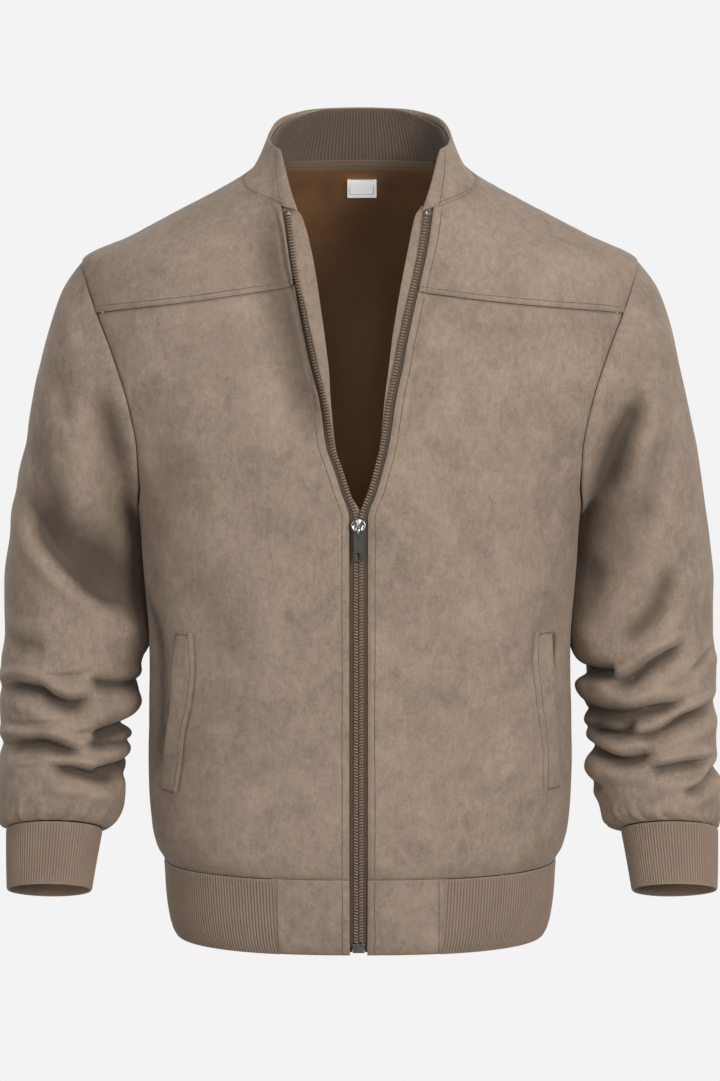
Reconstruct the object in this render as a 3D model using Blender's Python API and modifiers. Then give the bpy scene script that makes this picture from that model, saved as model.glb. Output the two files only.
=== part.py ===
"""A zip-front bomber jacket in faux suede, filled out as if worn, with rib-knit collar lining, cuffs and hem.

The garment stands upright with +Z up, its front towards -Y and the viewer's right at +X.
The origin lies on the centre line, level with the points where the shoulder seams meet the collar.
All lengths are in millimetres until a mesh is made.
"""

import math
from collections import namedtuple

import bmesh
import bpy
import numpy as np
from mathutils import Matrix

MM = 0.001
SEAM_GAP = 0.3
SUEDE = 1.6
LINING = 1.0
RIB_CLOTH = 1.8
TAPE = 0.9
TAPE_DEPTH = 2.6
SIDE_SEAM = 90.0
SHOULDER_SEAM = 90.0
SQUARENESS = 2.4

UNDERARM_HEIGHT = -290.0
SHOULDER_TIP_HEIGHT = -82.0
HEM_SEAM_HEIGHT = -590.0
HEM_EDGE_HEIGHT = -655.0

ZIP_CENTRE = -1.2
ZIP_EDGE_INSET = 7.3
ZIP_TEETH_HALF = 3.7
ZIP_TEETH_RAISE = 2.1
SLIDER_HEIGHT = -299.0
HEM_TAB_END = 72.0

RIB_PITCH = 2.7
RIB_RAISE = 0.55
RIBS_PER_BACKING = 6
RIB_SEAM_DROP = 0.5
LAYER_GAP = 0.3
SEAM_MITRE = 0.4
SHARP_ANGLE = 40.0
JACKET = "bomber_jacket"
CUTTERS = "cutters"

COLLAR_BULGE = 1.5
COLLAR_LAYER_GAP = 1.8
COLLAR_RIB_START = 0.04
NECK_FRONT_HEIGHT = -37.0
NECK_TAPE_END = 35.0
NECK_TAPE_WIDTH = 9.0
NECK_TAPE_DEPTH = 8.1
LINING_INSET = 7.0
LINING_DEPTH = 4.8
LABEL_WIDTH = 26.0
LABEL_HEIGHT = 17.0
LABEL_TOP = -11.5
LABEL_OFFSET = 1.7
LABEL_DEPTH = 9.1
FACING_WIDTH = 36.0
WELT = 1.3
HEM_TAB_EXTRA = 0.6
HEM_TAB_GAP = 0.15

ARMHOLE_BLEND_ROWS = 3.0
SLEEVE_UPPER_ROWS = 8
SLEEVE_LOWER_CELLS = 19

ZIP_TUCK = 6.0
ZIP_STOP_LENGTH = 3.4
ZIP_ROWS = (-643.7, -620, -590, -560, -480, -380, -300, -285, -267, -249)
ZIP_ROWS += (-231, -212, -194, -170, -142, -110, -76, -43)
ZIP_BOX_WIDTH = 10.0
ZIP_BOX_LENGTH = 8.0
ZIP_BOX_DEPTH = 3.4
ZIP_BOX_RISE = 3.0
SLIDER_WIDTH = 13.0
SLIDER_LENGTH = 16.5
SLIDER_DEPTH = 3.0
PULL_HEIGHT = -301.0
PULL_WIDTH = 8.2
PULL_LENGTH = 24.5
PULL_THICK = 1.2
PULL_RIM = 1.8
PULL_ARM = 2.2
SLOT_LENGTH = 5.2
WINDOW_LENGTH = 5.5
PIN_RADIUS = 0.8
PIN_STAND = 1.15
TUNNEL_HEIGHT = 2.3
BRIDGE_THICK = 1.2
BRIDGE_WIDTH = 2.6
BRIDGE_REACH = 4.2
BRIDGE_FOOT = 1.4

SIDES = {"left": -1, "right": 1}

# The body's level sections: height, half width, and depth of the front and the back from the centre line.
Section = namedtuple("Section", "height half_width front back")
BODY = (
    Section(20, 70, 68, 60),
    Section(6, 79, 73, 66),
    Section(0, 86, 76, 70),
    Section(-10, 98, 79, 79),
    Section(-20, 115, 82, 88),
    Section(-40, 153, 88, 99),
    Section(-60, 191, 94, 107),
    Section(-82, 234, 101, 113),
    Section(-110, 240, 108, 118),
    Section(-150, 238, 116, 122),
    Section(-200, 228, 122, 125),
    Section(-245, 208, 125, 126),
    Section(-290, 187, 127, 126),
    Section(-340, 183, 128, 125),
    Section(-420, 179, 128, 122),
    Section(-500, 180, 127, 120),
    Section(-560, 177, 126, 119),
    Section(-578, 173, 124.5, 118.5),
    Section(-590, 167, 121.5, 116.5),
    Section(-620, 165, 119, 115),
    Section(-645, 161, 116, 112),
    Section(-656, 156, 112, 108),
)

# Where the armhole seam lies on the body: height, and distance from the centre line in front and behind.
Armhole = namedtuple("Armhole", "height front back")
ARMHOLE = (
    Armhole(-82, 234, 234),
    Armhole(-95, 230, 231),
    Armhole(-120, 221, 224),
    Armhole(-157, 206, 212),
    Armhole(-205, 191, 199),
    Armhole(-240, 185, 190),
    Armhole(-268, 184, 187),
    Armhole(-290, 187, 187),
)

# The neck seam on the body, by angle from the front centre, and the collar's top edge above it.
NeckSeam = namedtuple("NeckSeam", "angle height")
NECK_SEAM = (
    NeckSeam(28, -41),
    NeckSeam(36, -37),
    NeckSeam(50, -28),
    NeckSeam(70, -14),
    NeckSeam(90, -5),
    NeckSeam(120, -2),
    NeckSeam(180, 0),
)
CollarEdge = namedtuple("CollarEdge", "angle radius height")
COLLAR_EDGE = (
    CollarEdge(50, 88, 11),
    CollarEdge(70, 80, 17),
    CollarEdge(90, 76, 25),
    CollarEdge(120, 73, 37),
    CollarEdge(150, 69, 45),
    CollarEdge(180, 67, 48.5),
)
COLLAR_FRONT_ANGLE = 31.0

# How far the teeth stand from the centre line, and how far each facing shows past them.
Opening = namedtuple("Opening", "height left right facing_left facing_right")
OPENING = (
    Opening(-36, 57.5, 53.5, 8.0, 7.0),
    Opening(-60, 54.0, 50.0, 11.5, 8.5),
    Opening(-84, 50.8, 45.9, 13.5, 9.5),
    Opening(-123, 46.0, 37.0, 14.8, 7.5),
    Opening(-162, 37.5, 28.8, 12.0, 4.5),
    Opening(-194, 27.7, 22.0, 5.0, 2.0),
    Opening(-231, 21.0, 16.2, 0.5, 0.0),
    Opening(-267, 12.2, 8.1, -0.8, -0.8),
    Opening(-291, 1.4, -1.0, -0.8, -0.8),
    Opening(-660, 1.4, -1.0, -0.8, -0.8),
)

# The front yoke seam's height at the zip. It meets the armhole seam at one of the armhole's stations.
YOKE_SEAM = {"left": -101, "right": -106}
YOKE_STATION = 3
YOKE_LAP = 0.9

# Where the front's columns stand between the zip and the side, as shares of the way.
FRONT_SHARES = (0, 0.045, 0.12, 0.22, 0.34, 0.46, 0.58, 0.70, 0.81, 0.91, 1)
SLEEVE_COLUMNS = 20
SLEEVE_ROWS = 28
SIDE_ROWS = 10
SHOULDER_CELLS = 4
BACK_CELLS = 16

# Sleeve sections, each from a point on the sleeve's outer line to a point on its underarm line.
Ring = namedtuple(
    "Ring",
    "outer_height outer_left outer_right inner_height inner_left inner_right forward half_depth lean",
)
SLEEVE = (
    Ring(-82, 234, 234, -290, 186.5, 186.5, -3, 75, 0),
    Ring(-105, 250, 251, -296, 188.5, 188.5, -3, 77, 0),
    Ring(-138, 262, 263, -301, 190.5, 189.5, -4, 78, 0),
    Ring(-172, 271, 271, -306, 192.0, 190.0, -5, 78, 0),
    Ring(-207, 279, 279, -312, 193.5, 190.0, -6, 76, 0),
    Ring(-245, 286, 286, -320, 194.5, 190.0, -7, 74, 0),
    Ring(-280, 292, 292, -331, 195.0, 190.0, -8, 71, 0),
    Ring(-316, 298, 297, -345, 195.0, 189.0, -8, 69, 0),
    Ring(-356, 303, 301, -368, 194.0, 188.0, -8, 67, 1),
    Ring(-397, 303, 301, -399, 189.0, 187.0, -6, 65, 4),
    Ring(-424, 306, 304, -424, 186.5, 186.5, -3, 63, 7),
    Ring(-456, 306, 303, -456, 187.0, 186.0, 4, 61, 11),
    Ring(-487, 304, 303, -487, 191.0, 191.0, 13, 58, 14),
    Ring(-516, 306, 304, -516, 198.0, 193.0, 23, 56, 16),
    Ring(-540, 306, 305, -540, 200.0, 202.0, 32, 53, 18),
    Ring(-555, 304, 304, -555, 208.0, 207.0, 37, 48, 19),
    Ring(-561, 298.5, 302, -561, 218.0, 221.0, 39, 40, 19),
)
CUFF_LENGTH = 52.0
CUFF_TAPER = 5.0
CUFF_OUTWARD = 3.0

# Folds as the front shows them: a soft trough from one point to another, in distance across and height.
Fold = namedtuple("Fold", "from_x from_z to_x to_z bow depth width")
SLEEVE_FOLDS = {
    "left": (
        Fold(-276, -284, -186, -388, -6, 8, 10),
        Fold(-305, -440, -226, -450, 5, 7, 8),
        Fold(-228, -432, -190, -440, 0, 5, 7),
        Fold(-304, -466, -246, -459, -3, 4, 6),
        Fold(-287, -485, -229, -493, 2, 7, 8),
        Fold(-232, -481, -188, -488, 0, 13, 8),
        Fold(-208, -467, -180, -461, 0, 9, 6),
        Fold(-266, -502, -196, -516, 3, 7, 8),
        Fold(-305, -504, -250, -494, 2, 5, 6),
    ),
    "right": (
        Fold(176, -412, 216, -429, 0, 14, 10),
        Fold(214, -430, 278, -402, -3, 7, 8),
        Fold(184, -460, 280, -450, 3, 7, 8),
        Fold(196, -472, 230, -480, 0, 11, 7),
        Fold(218, -482, 302, -457, -3, 7, 8),
        Fold(190, -490, 248, -497, 2, 10, 7),
        Fold(236, -507, 298, -500, 2, 6, 7),
        Fold(270, -523, 302, -507, 0, 5, 6),
        Fold(194, -518, 206, -530, 0, 7, 6),
    ),
}
SLEEVE_BACK_FOLDS = (
    Fold(-300, -300, -205, -372, 5, 6, 12),
    Fold(-302, -398, -205, -420, 6, 8, 10),
    Fold(-298, -448, -200, -436, -5, 7, 9),
    Fold(-304, -470, -214, -484, 4, 8, 9),
    Fold(-296, -516, -206, -502, -3, 6, 8),
)
BODY_FOLDS = (
    Fold(-82, -84, -36, -232, 5, 4.0, 13),
    Fold(76, -86, 32, -220, -4, 3.0, 12),
    Fold(-176, -330, -120, -420, 6, 3.0, 16),
    Fold(174, -345, 132, -440, -5, 3.0, 16),
)
BACK_FOLDS = (
    Fold(-150, -250, -60, -330, 8, 3.5, 18),
    Fold(150, -262, 70, -345, -8, 3.5, 18),
    Fold(-120, -470, 100, -486, 10, 3.0, 16),
)

# Each pocket welt, from top to bottom: height, and the distances of its stitched edge and its opening edge.
Welt = namedtuple("Welt", "height stitched opening")
WELTS = {
    "left": (
        Welt(-388, 138, 150),
        Welt(-416, 136, 154),
        Welt(-444, 139, 155),
        Welt(-472, 145, 159),
        Welt(-500, 148, 163),
        Welt(-524, 152, 166),
    ),
    "right": (
        Welt(-388, 147, 161),
        Welt(-416, 146, 160),
        Welt(-444, 147, 160),
        Welt(-472, 151, 163),
        Welt(-500, 153, 165),
        Welt(-522, 153, 167),
    ),
}


def clear_scene():
    for thing in list(bpy.data.objects):
        bpy.data.objects.remove(thing, do_unlink=True)


def make_material(name, colour, roughness, metallic=0.0):
    material = bpy.data.materials.new(name)
    material.use_nodes = True
    shader = material.node_tree.nodes["Principled BSDF"]
    shader.inputs["Base Color"].default_value = (*colour, 1.0)
    shader.inputs["Roughness"].default_value = roughness
    shader.inputs["Metallic"].default_value = metallic
    return material


LOOKS = {
    "suede": ((0.27, 0.21, 0.16), 0.95, 0.0),
    "rib_knit": ((0.20, 0.145, 0.10), 0.95, 0.0),
    "lining": ((0.055, 0.032, 0.018), 0.6, 0.0),
    "label": ((0.85, 0.85, 0.84), 0.8, 0.0),
    "zip_tape": ((0.15, 0.105, 0.075), 0.85, 0.0),
    "metal": ((0.28, 0.27, 0.26), 0.35, 1.0),
}


def smooth_value(keys, values, at):
    """A smooth curve through values at rising keys, which never swings past them."""
    rises = np.diff(values) / np.diff(keys)
    product = rises[1:] * rises[:-1]
    total = np.where(product > 0, rises[1:] + rises[:-1], 1.0)
    slopes = np.concatenate([rises[:1], np.where(product > 0, 2 * product / total, 0.0), rises[-1:]])
    at = np.clip(np.asarray(at, float), keys[0], keys[-1])
    low = np.clip(np.searchsorted(keys, at, side="right") - 1, 0, len(keys) - 2)
    span = keys[low + 1] - keys[low]
    t = (at - keys[low]) / span
    rise = t * t * (3 - 2 * t)
    start = t * (1 - t) ** 2 * span * slopes[low]
    end = -t * t * (1 - t) * span * slopes[low + 1]
    return values[low] * (1 - rise) + values[low + 1] * rise + start + end


def read(table, field, at):
    """A smooth value of one column of a table, by the table's first column."""
    keys = np.array([row[0] for row in table], float)
    values = np.array([getattr(row, field) for row in table], float)
    if keys[0] > keys[-1]:
        keys, values = keys[::-1], values[::-1]
    return smooth_value(keys, values, at)


def read_row(table, field, at):
    """A smooth value of one column of a table, by the row's number, counted from 0."""
    values = np.array([getattr(row, field) for row in table], float)
    return smooth_value(np.arange(len(values), dtype=float), values, at)


def smooth_step(low, high, value):
    t = np.clip((value - low) / (high - low), 0, 1)
    return t * t * (3 - 2 * t)


def fold_depth(x, z, folds):
    """How far the folds push the cloth in at a place seen from the front, steeper on the upper lip."""
    total = np.zeros(np.broadcast(x, z).shape)
    for fold in folds:
        run_x = fold.to_x - fold.from_x
        run_z = fold.to_z - fold.from_z
        length = math.hypot(run_x, run_z)
        along = ((x - fold.from_x) * run_x + (z - fold.from_z) * run_z) / length**2
        across = ((z - fold.from_z) * run_x - (x - fold.from_x) * run_z) / length * math.copysign(1, run_x)
        inside = np.clip(along, 0, 1)
        across = across - 4 * fold.bow * inside * (1 - inside)
        ends = smooth_step(-0.12, 0.18, along) * smooth_step(-0.12, 0.18, 1 - along)
        reach = np.where(across > 0, 0.75 * fold.width, 1.3 * fold.width)
        trough = np.exp(-((across / reach) ** 2))
        lip = 0.3 * np.exp(-(((np.abs(across) - 2 * fold.width) / fold.width) ** 2))
        total = total + fold.depth * ends * (trough - lip)
    return total


def body_surface(angle, height):
    """A point of the body, by its angle in degrees from the front centre towards +X, and its height."""
    turn = np.radians(angle)
    half_width = read(BODY, "half_width", height)
    half_depth = np.where(np.cos(turn) > 0, read(BODY, "front", height), read(BODY, "back", height))
    side = np.abs(np.sin(turn)) / half_width
    depth = np.abs(np.cos(turn)) / half_depth
    radius = (side**SQUARENESS + depth**SQUARENESS) ** (-1 / SQUARENESS)
    x = radius * np.sin(turn)
    in_front = smooth_step(0.05, 0.5, np.cos(turn))
    behind = smooth_step(0.05, 0.5, -np.cos(turn))
    radius = radius - in_front * fold_depth(x, height, BODY_FOLDS)
    radius = radius - behind * fold_depth(x, height, BACK_FOLDS)
    return np.stack([radius * np.sin(turn), -radius * np.cos(turn), height + 0 * radius], -1)


def angle_at(x, height, behind=False):
    """The angle at which the body stands this far from the centre line, found by halving."""
    hand = np.where(np.asarray(x) < 0, -1.0, 1.0)
    low = np.zeros(np.broadcast(x, height, behind).shape)
    high = low + SIDE_SEAM
    for _ in range(34):
        middle = (low + high) / 2
        turned = np.where(behind, 180 - middle, middle)
        short = hand * body_surface(hand * turned, height)[..., 0] < np.abs(x)
        low = np.where(short, middle, low)
        high = np.where(short, high, middle)
    return hand * np.where(behind, 180 - high, high)


def front_surface(x, height):
    """A point of the front, by its distance across and its height."""
    return body_surface(angle_at(x, height), height)


def back_surface(x, height):
    """A point of the back, by its distance across and its height, read so that the normal points out."""
    return body_surface(angle_at(-x, height, True), height)


def folded_angle(angle):
    """The angle from the front centre, the same on both sides."""
    return 180 - np.abs(np.asarray(angle, float) % 360 - 180)


def neck_height(angle):
    return read(NECK_SEAM, "height", folded_angle(angle))


def collar_surface(angle, rise):
    """A point of the collar, by its angle on the neck seam and its share of the way up to the edge."""
    around = folded_angle(angle)
    share = (around - COLLAR_FRONT_ANGLE) / (180 - COLLAR_FRONT_ANGLE)
    edge_angle = COLLAR_EDGE[0].angle + share * (180 - COLLAR_EDGE[0].angle)
    edge_turn = np.radians(np.where(np.asarray(angle) % 360 > 180, 360 - edge_angle, edge_angle))
    radius = read(COLLAR_EDGE, "radius", edge_angle)
    height = read(COLLAR_EDGE, "height", edge_angle)
    edge = np.stack([radius * np.sin(edge_turn), -radius * np.cos(edge_turn), height], -1)
    seam = body_surface(angle, neck_height(angle))
    rise = np.asarray(rise, float)[..., None]
    bulge = COLLAR_BULGE * 4 * rise * (1 - rise)
    turn = np.radians(np.asarray(angle, float))
    outward = np.stack([np.sin(turn), -np.cos(turn), 0 * turn], -1)
    return seam + (edge - seam) * rise + bulge * outward


def collar_inside(angle, rise):
    """The collar's surface read the other way round, so that its normal points to the neck."""
    return collar_surface(360 - angle, rise)


def armhole_height(turn):
    """The height of the armhole seam at an angle round the sleeve, from its outer line over the front."""
    middle = (SHOULDER_TIP_HEIGHT + UNDERARM_HEIGHT) / 2
    return middle + (SHOULDER_TIP_HEIGHT - UNDERARM_HEIGHT) / 2 * np.cos(np.radians(turn))


def armhole_angle(turn, side):
    """The body's angle at a place on the armhole seam."""
    turn = np.asarray(turn, float) % 360
    behind = turn > 180
    height = armhole_height(turn)
    reach = np.where(behind, read(ARMHOLE, "back", height), read(ARMHOLE, "front", height))
    found = angle_at(side * reach, height, behind)
    at_end = np.abs(np.sin(np.radians(turn))) < 1e-6
    return np.where(at_end, side * SIDE_SEAM, found)


def sleeve_surface(side_name):
    """The surface of a sleeve, mirrored to stand at +X, by its angle and its row in the sleeve's table."""
    side = SIDES[side_name]

    def surface(turn, row):
        turn, row = np.broadcast_arrays(np.asarray(turn, float), np.asarray(row, float))
        outer_x = read_row(SLEEVE, "outer_" + side_name, row)
        outer_z = read_row(SLEEVE, "outer_height", row)
        inner_x = read_row(SLEEVE, "inner_" + side_name, row)
        inner_z = read_row(SLEEVE, "inner_height", row)
        forward = read_row(SLEEVE, "forward", row)
        half_depth = read_row(SLEEVE, "half_depth", row)
        lean = np.radians(read_row(SLEEVE, "lean", row))
        cosine = np.cos(np.radians(turn))
        sine = np.sin(np.radians(turn))
        x = (outer_x + inner_x) / 2 + cosine * (outer_x - inner_x) / 2
        z = (outer_z + inner_z) / 2 + cosine * (outer_z - inner_z) / 2
        y = -forward - sine * half_depth * np.cos(lean)
        point = np.stack([x, y, z + sine * half_depth * np.sin(lean)], -1)
        near_seam = row < ARMHOLE_BLEND_ROWS
        if np.any(near_seam):
            seam = body_surface(armhole_angle(turn, side), armhole_height(turn))
            seam[..., 0] *= side
            first = SLEEVE[0]
            first_outer = getattr(first, "outer_" + side_name)
            first_inner = getattr(first, "inner_" + side_name)
            plain_x = (first_outer + first_inner) / 2 + cosine * (first_outer - first_inner) / 2
            plain_z = (first.outer_height + first.inner_height) / 2
            plain_z = plain_z + cosine * (first.outer_height - first.inner_height) / 2
            plain = np.stack([plain_x, -first.forward - sine * first.half_depth, plain_z], -1)
            weight = (1 - np.clip(row / ARMHOLE_BLEND_ROWS, 0, 1)) ** 2
            point = point + weight[..., None] * (seam - plain)
        fade = smooth_step(1.0, 4.0, row) * smooth_step(0.0, 1.5, len(SLEEVE) - 1 - row)
        in_front = smooth_step(-0.55, -0.05, sine)
        behind = smooth_step(0.05, 0.55, -sine)
        push = in_front * fold_depth(side * point[..., 0], point[..., 2], SLEEVE_FOLDS[side_name])
        push = push + behind * fold_depth(-point[..., 0], point[..., 2], SLEEVE_BACK_FOLDS)
        across = np.stack([(outer_x - inner_x) / 2, 0 * x, (outer_z - inner_z) / 2], -1)
        across = across / np.linalg.norm(across, axis=-1, keepdims=True)
        outward = cosine[..., None] * across + sine[..., None] * np.array((0.0, -1.0, 0.0))
        return point - (fade * push)[..., None] * outward

    return surface


def cuff_surface(side_name):
    """The surface of a cuff, mirrored to stand at +X, by its angle and its share of the way down."""
    top = SLEEVE[-1]
    outer = getattr(top, "outer_" + side_name)
    inner = getattr(top, "inner_" + side_name)

    def surface(turn, drop):
        turn, drop = np.broadcast_arrays(np.asarray(turn, float), np.asarray(drop, float))
        cosine = np.cos(np.radians(turn))
        sine = np.sin(np.radians(turn))
        lean = math.radians(top.lean)
        half_width = (outer - inner) / 2 - CUFF_TAPER * drop
        half_depth = top.half_depth - CUFF_TAPER * drop
        x = (outer + inner) / 2 + CUFF_OUTWARD * drop + half_width * cosine
        y = -top.forward - CUFF_LENGTH * math.sin(lean) * drop - half_depth * sine * math.cos(lean)
        z = top.outer_height - CUFF_LENGTH * math.cos(lean) * drop + half_depth * sine * math.sin(lean)
        return np.stack([x, y, z], -1)

    return surface


def blend_patch(bottom, top, start, end):
    """A Coons patch in angle and height between four edges that share their corners."""
    across = np.linspace(0, 1, len(bottom))[None, :, None]
    up = np.linspace(0, 1, len(start))[:, None, None]
    ruled_up = (1 - up) * bottom[None] + up * top[None]
    ruled_across = (1 - across) * start[:, None] + across * end[:, None]
    corners = (1 - across) * ((1 - up) * bottom[0] + up * top[0])
    corners = corners + across * ((1 - up) * bottom[-1] + up * top[-1])
    return ruled_up + ruled_across - corners


def wall_grids(surface, first, second, thickness, out=0.0):
    """Outer and inner points of a wall whose outer face is this surface moved out."""
    step = 0.01
    here = surface(first, second)
    along_first = surface(first + step, second) - surface(first - step, second)
    along_second = surface(first, second + step) - surface(first, second - step)
    normal = np.cross(along_first, along_second)
    normal /= np.linalg.norm(normal, axis=-1, keepdims=True)
    out = np.asarray(out, float)[..., None]
    return here + out * normal, here + (out - thickness) * normal


def inset(grid, distance, closed):
    """The grid with its free edges drawn in, which leaves the gap at each seam."""
    grid = grid.copy()
    before = grid.copy()
    for edge, neighbour in ((0, 1), (-1, -2)):
        run = before[neighbour] - before[edge]
        grid[edge] += distance * run / np.linalg.norm(run, axis=-1, keepdims=True)
        if not closed:
            run = before[:, neighbour] - before[:, edge]
            grid[:, edge] += distance * run / np.linalg.norm(run, axis=-1, keepdims=True)
    return grid


def grid_faces(first, rows, columns, closed):
    """Quads over a block of points numbered row by row."""
    faces = []
    for row in range(rows - 1):
        for column in range(columns if closed else columns - 1):
            beside = (column + 1) % columns
            here = first + row * columns
            above = here + columns
            faces.append((here + column, here + beside, above + beside, above + column))
    return faces


def rim_loops(rows, columns, closed):
    """The numbers of the points round a block's free edges: two rings on a tube, or else one loop."""
    bottom = list(range(columns))
    top = [(rows - 1) * columns + column for column in range(columns)]
    if closed:
        return [bottom, top]
    right = [row * columns + columns - 1 for row in range(1, rows)]
    left = [row * columns for row in range(rows - 2, 0, -1)]
    return [bottom + right + top[-2::-1] + left]


def mesh_object(name, points, faces, look):
    """A closed mesh in millimetres made an object of the jacket, with its faces turned outwards."""
    mesh = bpy.data.meshes.new(name)
    mesh.from_pydata([tuple(MM * float(value) for value in point) for point in points], [], faces)
    work = bmesh.new()
    work.from_mesh(mesh)
    bmesh.ops.recalc_face_normals(work, faces=work.faces)
    quads = [face for face in work.faces if len(face.verts) == 4]
    bmesh.ops.triangulate(work, faces=quads, quad_method="SHORT_EDGE")
    work.to_mesh(mesh)
    work.free()
    return finish_object(bpy.data.objects.new(name, mesh), look)


def finish_object(thing, look):
    """Gives an object its material and smooth shading, and puts it in the jacket's collection."""
    thing.data.materials.clear()
    thing.data.materials.append(bpy.data.materials[look])
    thing.data.shade_smooth()
    thing.data.set_sharp_from_angle(angle=math.radians(SHARP_ANGLE))
    for collection in list(thing.users_collection):
        collection.objects.unlink(thing)
    bpy.data.collections[JACKET].objects.link(thing)
    return thing


def cloth_wall(name, grids, look, closed=False, side=1):
    """A closed wall between an outer and an inner grid of the same size."""
    outer = inset(grids[0], SEAM_GAP / 2, closed)
    inner = inset(grids[1], SEAM_GAP / 2 + SEAM_MITRE, closed)
    rows, columns = outer.shape[:2]
    count = rows * columns
    points = np.concatenate([outer.reshape(-1, 3), inner.reshape(-1, 3)])
    points[:, 0] *= side
    faces = grid_faces(0, rows, columns, closed)
    faces += [face[::-1] for face in grid_faces(count, rows, columns, closed)]
    for loop in rim_loops(rows, columns, closed):
        for here, there in zip(loop, loop[1:] + loop[:1]):
            faces.append((here, there, there + count, here + count))
    return mesh_object(name, points, faces, look)


def ribbed_wall(name, surface, ends, rows, look, closed=False, out=0.0, side=1):
    """A wall with raised ribs on its outer face over a plain inside, both drawn round the same surface."""
    line = surface(np.linspace(ends[0], ends[1], 200), np.full(200, float(rows[0])))
    length = np.linalg.norm(np.diff(line, axis=0), axis=1).sum()
    cells = max(3, round(length / RIB_PITCH / RIBS_PER_BACKING))
    per_cell = 2 * RIBS_PER_BACKING
    fine = np.linspace(ends[0], ends[1], cells * per_cell + 1)
    coarse = fine[::per_cell]
    if closed:
        fine = fine[:-1]
        coarse = coarse[:-1]
    down = np.asarray(rows, float)[:, None]
    raised = out + RIB_RAISE * (np.arange(len(fine)) % 2)
    ribbed = inset(wall_grids(surface, fine[None], down, RIB_CLOTH, raised[None])[0], SEAM_GAP / 2, closed)
    plain = inset(wall_grids(surface, coarse[None], down, RIB_CLOTH, out)[1], SEAM_GAP / 2, closed)
    total = ribbed.shape[0] * ribbed.shape[1]
    points = np.concatenate([ribbed.reshape(-1, 3), plain.reshape(-1, 3)])
    points[:, 0] *= side
    faces = grid_faces(0, len(rows), len(fine), closed)
    faces += [face[::-1] for face in grid_faces(total, len(rows), len(coarse), closed)]
    for row in (0, len(rows) - 1):
        for cell in range(cells):
            under = [total + row * len(coarse) + (cell + end) % len(coarse) for end in (1, 0)]
            over = [row * len(fine) + (cell * per_cell + k) % len(fine) for k in range(per_cell + 1)]
            faces.append(over + under)
    if not closed:
        for fine_end, coarse_end in ((0, 0), (len(fine) - 1, len(coarse) - 1)):
            for row in range(len(rows) - 1):
                here = row * len(fine) + fine_end
                under = total + row * len(coarse) + coarse_end
                faces.append((here, here + len(fine), under + len(coarse), under))
    return mesh_object(name, points, faces, look)


def front_edge(side_name, height):
    """Where a front's edge stands beside the zip."""
    return SIDES[side_name] * (read(OPENING, side_name, height) + ZIP_EDGE_INSET)


def yoke_line(side_name):
    """The yoke seam from the zip to the armhole, as angles and heights."""
    side = SIDES[side_name]
    shares = np.array(FRONT_SHARES)
    turn = YOKE_STATION * 360 / SLEEVE_COLUMNS
    start_height = YOKE_SEAM[side_name]
    heights = start_height + (armhole_height(turn) - start_height) * shares
    start = float(angle_at(front_edge(side_name, start_height), start_height))
    end = float(armhole_angle(turn, side))
    return np.stack([start + (end - start) * shares, heights], -1)


def armhole_stations(side_name, turns):
    """Places on the armhole seam as angles and heights, in the order of the sleeve's columns."""
    turns = np.asarray(turns, float)
    return np.stack([armhole_angle(turns, SIDES[side_name]), armhole_height(turns)], -1)


def zip_side(side_name, heights):
    """Places along a front's edge beside the zip, as angles and heights."""
    return np.stack([angle_at(front_edge(side_name, heights), heights), heights], -1)


def make_yoke(side_name):
    side = SIDES[side_name]
    step = 360 / SLEEVE_COLUMNS
    seam = yoke_line(side_name)
    shoulder_tip = (side * SHOULDER_SEAM, SHOULDER_TIP_HEIGHT)
    neck_corner = (side * SHOULDER_SEAM, float(neck_height(SHOULDER_SEAM)))
    up_armhole = armhole_stations(side_name, step * np.arange(YOKE_STATION, 0, -1))
    up_shoulder = np.linspace(shoulder_tip, neck_corner, SHOULDER_CELLS + 1)
    outer_side = np.concatenate([up_armhole, up_shoulder])
    neck = np.stack([neck_angles(side_name), neck_height(neck_angles(side_name))], -1)
    front_side = zip_side(side_name, np.linspace(seam[0, 1], neck[0, 1], len(outer_side)))
    front_side[-1] = neck[0]
    patch = blend_patch(seam, neck, front_side, outer_side)
    lift = YOKE_LAP * np.linspace(1, 0, len(outer_side)) ** 3
    grids = wall_grids(body_surface, patch[..., 0], patch[..., 1], SUEDE, lift[:, None])
    cloth_wall(f"yoke_{side_name}", grids, "suede")


def neck_angles(side_name):
    """The angles of the front neck seam's points, from the zip to the shoulder seam."""
    side = SIDES[side_name]
    start = abs(float(angle_at(front_edge(side_name, NECK_FRONT_HEIGHT), NECK_FRONT_HEIGHT)))
    return side * (start + (SHOULDER_SEAM - start) * np.array(FRONT_SHARES))


def make_front(side_name):
    side = SIDES[side_name]
    step = 360 / SLEEVE_COLUMNS
    seam = yoke_line(side_name)
    down_armhole = armhole_stations(side_name, step * np.arange(YOKE_STATION, SLEEVE_COLUMNS // 2 + 1))
    underarm = (side * SIDE_SEAM, UNDERARM_HEIGHT)
    down_side = np.linspace(underarm, (side * SIDE_SEAM, HEM_SEAM_HEIGHT), SIDE_ROWS + 1)
    outer_side = np.concatenate([down_armhole[:-1], down_side])
    drop = (outer_side[:, 1] - outer_side[0, 1]) / (HEM_SEAM_HEIGHT - outer_side[0, 1])
    front_side = zip_side(side_name, seam[0, 1] + drop * (HEM_SEAM_HEIGHT - seam[0, 1]))
    shares = np.array(FRONT_SHARES)[:, None]
    hem = front_side[-1] + shares * (outer_side[-1] - front_side[-1])
    patch = blend_patch(hem, seam, front_side[::-1], outer_side[::-1])
    grids = wall_grids(body_surface, patch[..., 0], patch[..., 1], SUEDE)
    cloth_wall(f"front_{side_name}", grids, "suede")


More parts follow.
